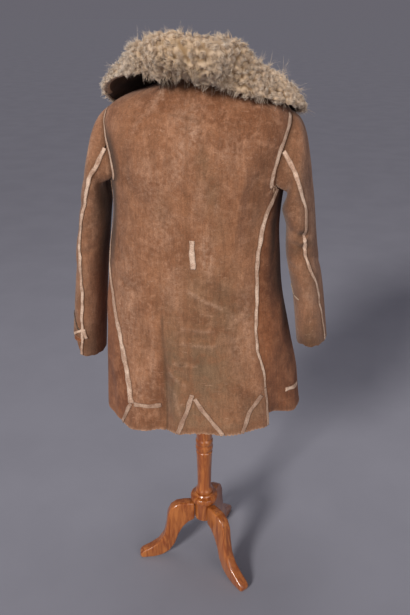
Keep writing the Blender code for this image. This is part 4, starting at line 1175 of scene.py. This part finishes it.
def plainWool(across, along, layer, dome=0.0):
    # the wool's body under the locks, short of the solid by the locks' own length
    depth = columnsAt(collarRows, along)[5] * (0.3 + 0.7 * easeStep(across / 0.45))
    lump = np.sin(41 * along + 5 * across) * np.cos(9 * across + 17 * along)
    lump = lump + 0.6 * np.sin(83 * along - 7 * across)
    inset = collar["inset"] + 0.007 * spanOf(thinSpans, along)
    depth = np.maximum(depth + 0.004 * lump * easeStep(across / 0.5) - inset, 0.003) + dome
    endRound = 1 - 0.45 * easeStep((across - 0.75) / 0.25)
    out = collar["wall"] + collar["seam"] + collarRipple(across, along) + layer * depth * endRound
    point = collarPoint(along, across, out)
    over = unit(point - collarPoint(along, across - 0.02, out))
    hang = collar["overhang"] * layer * easeStep((across - 0.6) / 0.4)
    return point + over * hang[..., None]


def treeOf(spots):
    tree = kdtree.KDTree(len(spots))
    for number, spot in enumerate(spots):
        tree.insert(spot, number)
    tree.balance()
    return tree


def placeClumps():
    # a clump keeps its distance from the others on the wool's real face
    rng = np.random.default_rng(7)
    along = rng.uniform(0, 1, clump["tries"])
    across = rng.uniform(0.14, 1.0, clump["tries"])
    spots = plainWool(across, along, np.ones_like(across))
    tree = treeOf(spots)
    free = np.ones(len(spots), bool)
    kept = []
    for number, spot in enumerate(spots):
        if free[number]:
            kept.append(number)
            free[[found[1] for found in tree.find_range(spot, clump["apart"])]] = False
    return along[kept], across[kept], treeOf(spots[kept])


clumpAlong, clumpAcross, clumpTree = placeClumps()
fineAlong = np.linspace(0, 1, 801)
fineLine = plainWool(np.full(801, 0.8), fineAlong, np.ones(801))
fineLength = lengthAlong(fineLine)


def clumpDome(across, along):
    spots = plainWool(across, along, np.ones_like(across))
    near = np.array([clumpTree.find(spot)[2] for spot in spots.reshape(-1, 3)])
    return (1 - np.minimum(near / clump["radius"], 1) ** 2).reshape(np.shape(across))


def onWool(across, along, layer):
    return plainWool(across, along, layer, clump["dome"] * clumpDome(across, along))


# along the collar from right to left, half span, strength
ochreSpans = ((0.5, 0.05, 0.7), (0.58, 0.03, 0.5), (0.33, 0.06, 0.28), (0.25, 0.04, 0.3), (0.42, 0.03, 0.6))
greySpans = ((0.64, 0.05, 0.75), (0.7, 0.03, 0.5), (0.46, 0.02, 0.3))


def woolValues(across, along, border):
    dome = clumpDome(across, along)
    return {
        # painted shade in the gaps between clumps, lighter on the clumps' domes
        "tip": 0.02 + 0.48 * dome,
        "ochre": spanOf(ochreSpans, along) * 0.6,
        "grey": spanOf(greySpans, along) * 0.6,
    }


def wholeWidth(low):
    return (lambda along: low), (lambda along: 1.0)


collarSkin = wrapSheet("collar_underside", "collar_leather", "collar_skin", (
    (*wholeWidth(0.0), 16, np.linspace(0, 1, 181)),
), onCollar, lambda across, along, border: {}, [collarLeather, collarLeather, rawEdge])
cutAlong = np.linspace(bareEdge[0] + 0.015, bareEdge[1] - 0.03, 40) * 100
stripPiece("collar_cut_edge", "", lambda one, two, out: onCollar(two, one / 100, -out / collar["wall"]),
           (cutAlong, np.full(40, 0.968)), 0.0085, 0.0003, rawEdge)
wrapSheet("collar_wool_body", "fleece", "collar_fleece", (
    (*wholeWidth(0.125), 70, np.linspace(0, 1, 361)),
), onWool, woolValues, [collarWool, collarWool, collarWool])

locks = {"rim": 150, "strands": 15, "segments": 3, "sides": 3, "long": (0.012, 0.021), "lean": (20, 66),
         "curl": (0.0018, 0.004), "turns": (0.35, 0.8), "rope": 0.0074, "thick": 0.00066, "stray": 0.0024}
hairs = {"count": 1280, "wisp": 8, "rim": 200, "segments": 4, "sides": 3, "long": (0.014, 0.027),
         "thick": 0.00032}


def spread(vectors, amounts):
    # a root's own vector, times an amount for each place along its lock
    return vectors[:, None, :] * amounts[..., None]


def tubes(paths, radii, sides):
    # paths are lock, segment, xyz; a thin closed tube along each one
    count, length = paths.shape[:2]
    run = unit(np.gradient(paths, axis=1))
    helper = np.where(np.abs(run[..., 2:3]) < 0.9, np.array([0.0, 0.0, 1.0]), np.array([1.0, 0.0, 0.0]))
    across = unit(np.cross(run, helper))[:, :, None, :]
    up = np.cross(run[:, :, None, :], across)
    angle = (np.arange(sides) * 2 * math.pi / sides)[:, None]
    points = paths[:, :, None, :] + (across * np.cos(angle) + up * np.sin(angle)) * radii[:, :, None, None]
    index = np.arange(count * length * sides).reshape(count, length, sides)
    following = np.roll(index, -1, axis=2)
    quads = np.stack([index[:, :-1], index[:, 1:], following[:, 1:], following[:, :-1]], -1).reshape(-1, 4)
    caps = np.concatenate([index[:, 0, :], index[:, -1, ::-1]])
    return points.reshape(-1, 3), quads.tolist() + caps.tolist()


def woolFrames(along, across):
    spot = onWool(across, along, 1.0)
    # the general lie of the wool, not the clump's own slope
    tangentAlong = unit(plainWool(across, along + 0.004, 1.0) - plainWool(across, along - 0.004, 1.0))
    tangentAcross = unit(plainWool(across + 0.03, along, 1.0) - plainWool(across - 0.03, along, 1.0))
    normal = unit(np.cross(tangentAlong, tangentAcross))
    outward = spot - plainWool(across, along, 0.0)
    normal = normal * np.sign(np.einsum("ij,ij->i", normal, outward))[:, None]
    return spot, normal, tangentAcross, tangentAlong


def woolRoots(rng, along, across, rimCount):
    spot, normal, tangentAcross, tangentAlong = woolFrames(along, across)
    share = (np.arange(rimCount) + rng.uniform(0.0, 1.0, rimCount)) / rimCount
    rimAlong = np.interp(share * fineLength[-1], fineLength, fineAlong)
    wooled = (rimAlong < bareEdge[0]) | (rimAlong > bareEdge[1]) | (rng.uniform(0, 1, rimCount) < 0.12)
    rimAlong = rimAlong[wooled]
    rimCount = len(rimAlong)
    rimAcross = np.full(rimCount, 0.995)
    rimLayer = rng.uniform(0.15, 1.0, rimCount)
    rimSpot, rimNormal, rimOver, rimRun = woolFrames(rimAlong, rimAcross)
    low = plainWool(rimAcross, rimAlong, 0.0)
    rimSpot = low + (rimSpot - low) * rimLayer[:, None]
    spots = np.concatenate([spot, rimSpot])
    normals = np.concatenate([normal, unit(rimOver + 0.7 * rimNormal)])
    flows = np.concatenate([tangentAcross, rimOver - 0.4 * rimNormal])
    runs = np.concatenate([tangentAlong, rimRun])
    return spots, normals, unit(flows), runs, np.concatenate([along, rimAlong])


def growLocks():
    # a lock is a rope of strands that curls and ends in a point
    rng = np.random.default_rng(11)
    spots, normals, flows, runs, along = woolRoots(rng, clumpAlong, clumpAcross, locks["rim"])
    count = len(spots)
    bare = easeStep((along - bareEdge[0]) / 0.05) * easeStep((bareEdge[1] - along) / 0.05)
    lean = np.radians(rng.uniform(*locks["lean"], count)) * (1 - 0.7 * bare)
    swing = rng.normal(0, 1.0, count)
    aim = flows * np.cos(swing)[:, None] + runs * np.sin(swing)[:, None]
    axis = normals * np.cos(lean)[:, None] + aim * np.sin(lean)[:, None]
    ends = 0.65 + 0.35 * easeStep((0.42 - np.abs(along - 0.5)) / 0.15)
    long = rng.uniform(*locks["long"], count) * ends * (1 - 0.2 * spanOf(thinSpans, along))
    curl = rng.uniform(*locks["curl"], count)
    turns = rng.uniform(*locks["turns"], count) * rng.choice([-1, 1], count)
    phase = rng.uniform(0, 2 * math.pi, count)
    first = unit(np.cross(axis, rng.normal(0, 1, (count, 3))))
    s = np.linspace(0, 1, locks["segments"] + 1)
    wind = curl[:, None] * easeStep(s / 0.35) * (1.0 - 0.3 * s)
    angle = phase[:, None] + turns[:, None] * 2 * math.pi * s
    roots = spots[:, None, :]
    middle = roots + spread(axis, long[:, None] * s) - spread(normals, 0.003 + 0.28 * long[:, None] * s ** 2)
    middle = middle + spread(first, wind * np.cos(angle))
    middle = middle + spread(np.cross(axis, first), wind * np.sin(angle))
    run = unit(np.gradient(middle, axis=1))
    sideOne = unit(np.cross(run, normals[:, None, :]))
    sideTwo = np.cross(run, sideOne)
    # strands leave the clump's whole foot and draw together at the tip
    narrowing = 1.0 - 0.78 * s ** 1.3
    paths, radii = [], []
    strands = locks["strands"]
    for number in range(strands):
        apart = locks["rope"] * math.sqrt((number + 0.5) / strands)
        wide = apart * rng.uniform(0.8, 1.2, count)[:, None] * narrowing
        spin = (phase + 2.4 * number)[:, None] + 1.6 * s
        path = middle + sideOne * (wide * np.cos(spin))[..., None]
        path = path + sideTwo * (wide * np.sin(spin))[..., None]
        path = path + spread(rng.normal(0, locks["stray"], (count, 3)), (s ** 1.5)[None, :])
        reach = rng.uniform(0.7, 1.2, count)[:, None, None]
        paths.append(roots + (path - roots) * reach)
        radii.append(locks["thick"] * rng.uniform(0.75, 1.25, count)[:, None] * (1.0 - 0.65 * s))
    tone = np.tile(rng.uniform(0, 1, count), strands)
    # the tip value darkens each strand's root as painted shade
    return np.concatenate(paths), np.concatenate(radii), np.tile(along, strands), tone, 0.28 + 0.72 * s


def growHairs():
    rng = np.random.default_rng(19)
    # hairs stand in small wisps
    wisp = np.arange(hairs["count"]) // hairs["wisp"]
    wisps = wisp[-1] + 1
    share = np.interp(rng.uniform(0, fineLength[-1], wisps), fineLength, fineAlong)[wisp]
    share = np.clip(share + rng.normal(0, 0.0016, len(wisp)), 0, 1)
    across = np.clip(rng.uniform(0.16, 1.0, wisps)[wisp] + rng.normal(0, 0.01, len(wisp)), 0.14, 1)
    spots, normals, flows, runs, along = woolRoots(rng, share, across, hairs["rim"])
    count = len(spots)
    group = np.concatenate([wisp, wisps + np.arange(count - len(wisp))])
    groups = group[-1] + 1
    long = rng.uniform(*hairs["long"], count) * (0.8 + 0.5 * (rng.uniform(0, 1, groups) > 0.9))[group]
    lean = 0.5 * rng.normal(0, 1, (groups, 3))[group] + 0.14 * rng.normal(0, 1, (count, 3))
    aim = unit(normals + lean + 0.2 * flows)
    bend = unit(rng.normal(0, 1, (count, 3)) + np.array([0, 0, -0.4]))
    s = np.linspace(0, 1, hairs["segments"] + 1)
    path = (spots + normals * 0.005)[:, None, :] + spread(aim, long[:, None] * s)
    path = path + spread(bend, 0.4 * long[:, None] * s ** 2)
    radii = hairs["thick"] * rng.uniform(0.7, 1.3, count)[:, None] * (1.0 - 0.8 * s)
    return path, radii, along, rng.uniform(0, 1, count), 0.4 + 0.6 * s


def woolPieces(name, grown, sides, cuts):
    paths, radii, along, tone, tip = grown
    each = len(tip) * sides
    for number, (low, high) in enumerate(zip(cuts, cuts[1:]), 1):
        mine = (along >= low) & (along < high)
        points, faces = tubes(paths[mine], radii[mine], sides)
        shade = {
            "tip": np.tile(np.repeat(tip, sides), int(mine.sum())),
            "ochre": np.repeat(np.clip(spanOf(ochreSpans, along[mine]) * (0.3 + tone[mine]), 0, 1), each),
            "grey": np.repeat(np.clip(spanOf(greySpans, along[mine]) * (0.3 + tone[mine][::-1]), 0, 1), each),
        }
        settle(meshPiece(f"{name}_{number}", points, faces, [collarWool], None, shade), "fleece")


woolPieces("collar_locks", growLocks(), locks["sides"], (-0.01, 0.25, 0.5, 0.75, 1.01))
woolPieces("collar_hairs", growHairs(), hairs["sides"], (-0.01, 1.01))
print("collar made")

# loose fibres at the foot of the right armhole strip
frayed = {"count": 18, "long": (0.008, 0.017), "thick": 0.00034, "aside": 2.4}


def frayedEnd():
    rng = np.random.default_rng(3)
    count = frayed["count"]
    row = coat["armpit"] + 0.004
    angle = 360 + float(armholeOffset(-armholeTurn(row))) - frayed["aside"]
    rows = row + rng.uniform(-0.004, 0.006, count)
    spots = coatFace(angle + rng.uniform(-1.6, 1.6, count), rows, np.full(count, 0.0018))
    aim = unit(np.array([0.3, -0.5, -0.8]) + 0.45 * rng.normal(0, 1, (count, 3)))
    s = np.linspace(0, 1, 5)
    paths = spots[:, None, :] + spread(aim, rng.uniform(*frayed["long"], count)[:, None] * s)
    paths = paths + spread(0.004 * rng.normal(0, 1, (count, 3)), (s ** 2)[None, :])
    points, faces = tubes(paths, np.tile(frayed["thick"] * (1 - 0.5 * s), (count, 1)), 3)
    settle(meshPiece("frayed_strip_end", points, faces, [rawEdge]), "strip_leather")


frayedEnd()


# dress form under the coat

form = {"columns": 96, "middle": -0.01, "neckBack": -0.006, "rest": 0.0009}
# height, half width, depth to the back, depth to the front
formSections = (
    (0.735, 0.12, 0.08, 0.076), (0.745, 0.15, 0.105, 0.1), (0.79, 0.168, 0.118, 0.112),
    (0.88, 0.162, 0.116, 0.112), (0.98, 0.138, 0.1, 0.098), (1.08, 0.142, 0.106, 0.108),
    (1.18, 0.158, 0.116, 0.116), (1.27, 0.172, 0.116, 0.106), (1.33, 0.184, 0.106, 0.086),
    (1.358, 0.19, 0.096, 0.072),
)
formShoulder = ((1.388, 0.004), (1.4, form["rest"]), (1.415, form["rest"]), (1.428, form["rest"]))
formNeck = ((1.432, 0.064), (1.44, 0.052), (1.47, 0.049), (1.478, 0.044))


def dressForm():
    angles = np.linspace(0, 360, form["columns"] + 1)[:-1]
    level = np.ones(len(angles))
    rings = []
    for height, *sizes in formSections:
        cosine, sine, radius = oval(angles, *sizes)
        rings.append(np.stack([form["middle"] + radius * cosine, radius * sine, height * level], -1))
    for height, clear in formShoulder:
        inside = (-coat["wall"] - clear) * level
        rings.append(movedOut(plainCoat, angles, height * level, inside, 0.5, 0.002)[0])
    for height, radius in formNeck:
        rings.append(np.stack([radius * cosine, form["neckBack"] + radius * sine, height * level], -1))
    rings = np.array(rings)
    # four more rings between each two
    at = np.linspace(0, len(rings) - 1, 5 * (len(rings) - 1) + 1)
    low = np.minimum(at.astype(int), len(rings) - 2)
    share = (at - low)[:, None, None]
    fine = rings[low] * (1 - share) + rings[low + 1] * share
    index = np.arange(fine.shape[0] * fine.shape[1]).reshape(fine.shape[:2])
    quads = gridQuads(np.concatenate([index, index[:, :1]], axis=1))
    faces = quads.tolist() + [index[0][::-1].tolist(), index[-1].tolist()]
    piece = meshPiece("dress_form", fine.reshape(-1, 3), faces, [formLinen])
    sharpRims(piece, 40)
    settle(piece, "form_cloth", "form_torso")


dressForm()
print("dress form made")


# turned post and hub, sawn legs

# radius and height
postProfile = (
    (0.023, 0.2403), (0.0262, 0.245), (0.0262, 0.252), (0.0225, 0.258), (0.0202, 0.266), (0.0212, 0.32),
    (0.0235, 0.385), (0.0245, 0.392), (0.0215, 0.396), (0.0255, 0.403), (0.026, 0.412), (0.023, 0.419),
    (0.0255, 0.425), (0.0255, 0.434), (0.022, 0.44), (0.0235, 0.447), (0.0235, 0.7347),
)
hubProfile = (
    (0.024, 0.14), (0.0302, 0.147), (0.031, 0.212), (0.0415, 0.215), (0.0425, 0.224), (0.04, 0.231),
    (0.03, 0.235), (0.027, 0.24),
)
# distance from the post's middle and height round a leg's outline
legOutline = (
    (0.0313, 0.205), (0.06, 0.207), (0.085, 0.2045), (0.103, 0.192), (0.114, 0.168), (0.119, 0.125),
    (0.127, 0.086), (0.145, 0.057), (0.172, 0.038), (0.196, 0.026), (0.206, 0.016), (0.204, 0.005),
    (0.198, 0.0), (0.16, 0.0), (0.135, 0.006), (0.111, 0.022), (0.093, 0.05), (0.082, 0.086),
    (0.067, 0.115), (0.05, 0.133), (0.0313, 0.142),
)
leg = {"thick": 0.03, "round": 0.006, "angles": (198.4, 318.4, 78.4)}


def newDisc(name, corners, radius, height):
    bpy.ops.object.select_all(action="DESELECT")
    bpy.ops.mesh.primitive_circle_add(vertices=corners, radius=radius, fill_type="NGON",
                                      location=(0, 0, height))
    piece = bpy.context.object
    piece.name = name
    bpy.ops.object.transform_apply(location=True, rotation=True, scale=True)
    return piece


def startEditing():
    bpy.ops.object.mode_set(mode="EDIT")
    bpy.ops.mesh.select_all(action="SELECT")


def finishWood(piece, node, width, segments, bevelFrom, turn, smoothTo):
    bpy.ops.mesh.select_all(action="SELECT")
    bpy.ops.mesh.normals_make_consistent(inside=False)
    bpy.ops.object.mode_set(mode="OBJECT")
    rounding = piece.modifiers.new("worn_edges", "BEVEL")
    rounding.width = width
    rounding.segments = segments
    rounding.limit_method = "ANGLE"
    rounding.angle_limit = math.radians(bevelFrom)
    bpy.ops.object.modifier_apply(modifier=rounding.name)
    piece.location = tuple(coatMiddle)
    piece.rotation_euler = (0, 0, math.radians(turn))
    bpy.ops.object.transform_apply(location=True, rotation=True, scale=True)
    piece.data.materials.append(varnishedWood)
    sharpRims(piece, smoothTo)
    settle(piece, "stand_wood", node)


def turnedPiece(name, profile, node):
    # a disc drawn up ring by ring, as on a lathe
    radius, height = profile[0]
    piece = newDisc(name, 72, radius, height)
    startEditing()
    for nextRadius, nextHeight in profile[1:]:
        bpy.ops.mesh.extrude_region_move(TRANSFORM_OT_translate={"value": (0, 0, nextHeight - height)})
        size = nextRadius / radius
        bpy.ops.transform.resize(value=(size, size, 1.0), center_override=(0, 0, nextHeight))
        radius, height = nextRadius, nextHeight
    finishWood(piece, node, 0.0011, 2, 22, 0.0, 40)


def legPiece(number, angle):
    piece = newDisc(f"leg_{number}", len(legOutline), 0.1, 0.0)
    for vert, (reach, height) in zip(piece.data.vertices, legOutline):
        vert.co = (reach, -leg["thick"] / 2, height)
    startEditing()
    bpy.ops.mesh.extrude_region_move(TRANSFORM_OT_translate={"value": (0, leg["thick"], 0)})
    finishWood(piece, f"stand_leg_{number}", leg["round"], 4, 50, angle, 35)


turnedPiece("turned_post", postProfile, "stand_post")
turnedPiece("turned_hub", hubProfile, "stand_hub")
for legNumber, legAngle in enumerate(leg["angles"], 1):
    legPiece(legNumber, legAngle)
print("stand made")


# what each sheet was cut to

sheetCuts = (
    (backPanel, (0.66, 0.92)), (rightFront, (0.46, 0.92)), (leftFront, (0.46, 0.92)),
    (sleeves[0], (0.22, 0.62)), (sleeves[1], (0.22, 0.56)),
    (sleeves[2], (0.22, 0.7)), (sleeves[3], (0.22, 0.62)),
    (gussets[0], (0.13, 0.08)), (gussets[1], (0.13, 0.12)), (gussets[2], (0.08, 0.12)),
    (collarSkin, (1.1, 0.16)),
)


def sheetArea(piece):
    areas = np.array([face.area for face in piece.data.polygons if face.material_index == 0])
    return float(areas.sum())


for piece, cut in sheetCuts:
    area = min(cut[0] * cut[1], round(sheetArea(piece), 4))
    print("sheet", piece.name, cut, area)

meshes = [piece.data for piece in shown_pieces() if piece.type == "MESH"]
print("triangles in all", sum(sum(len(face.vertices) - 2 for face in mesh.polygons) for mesh in meshes))
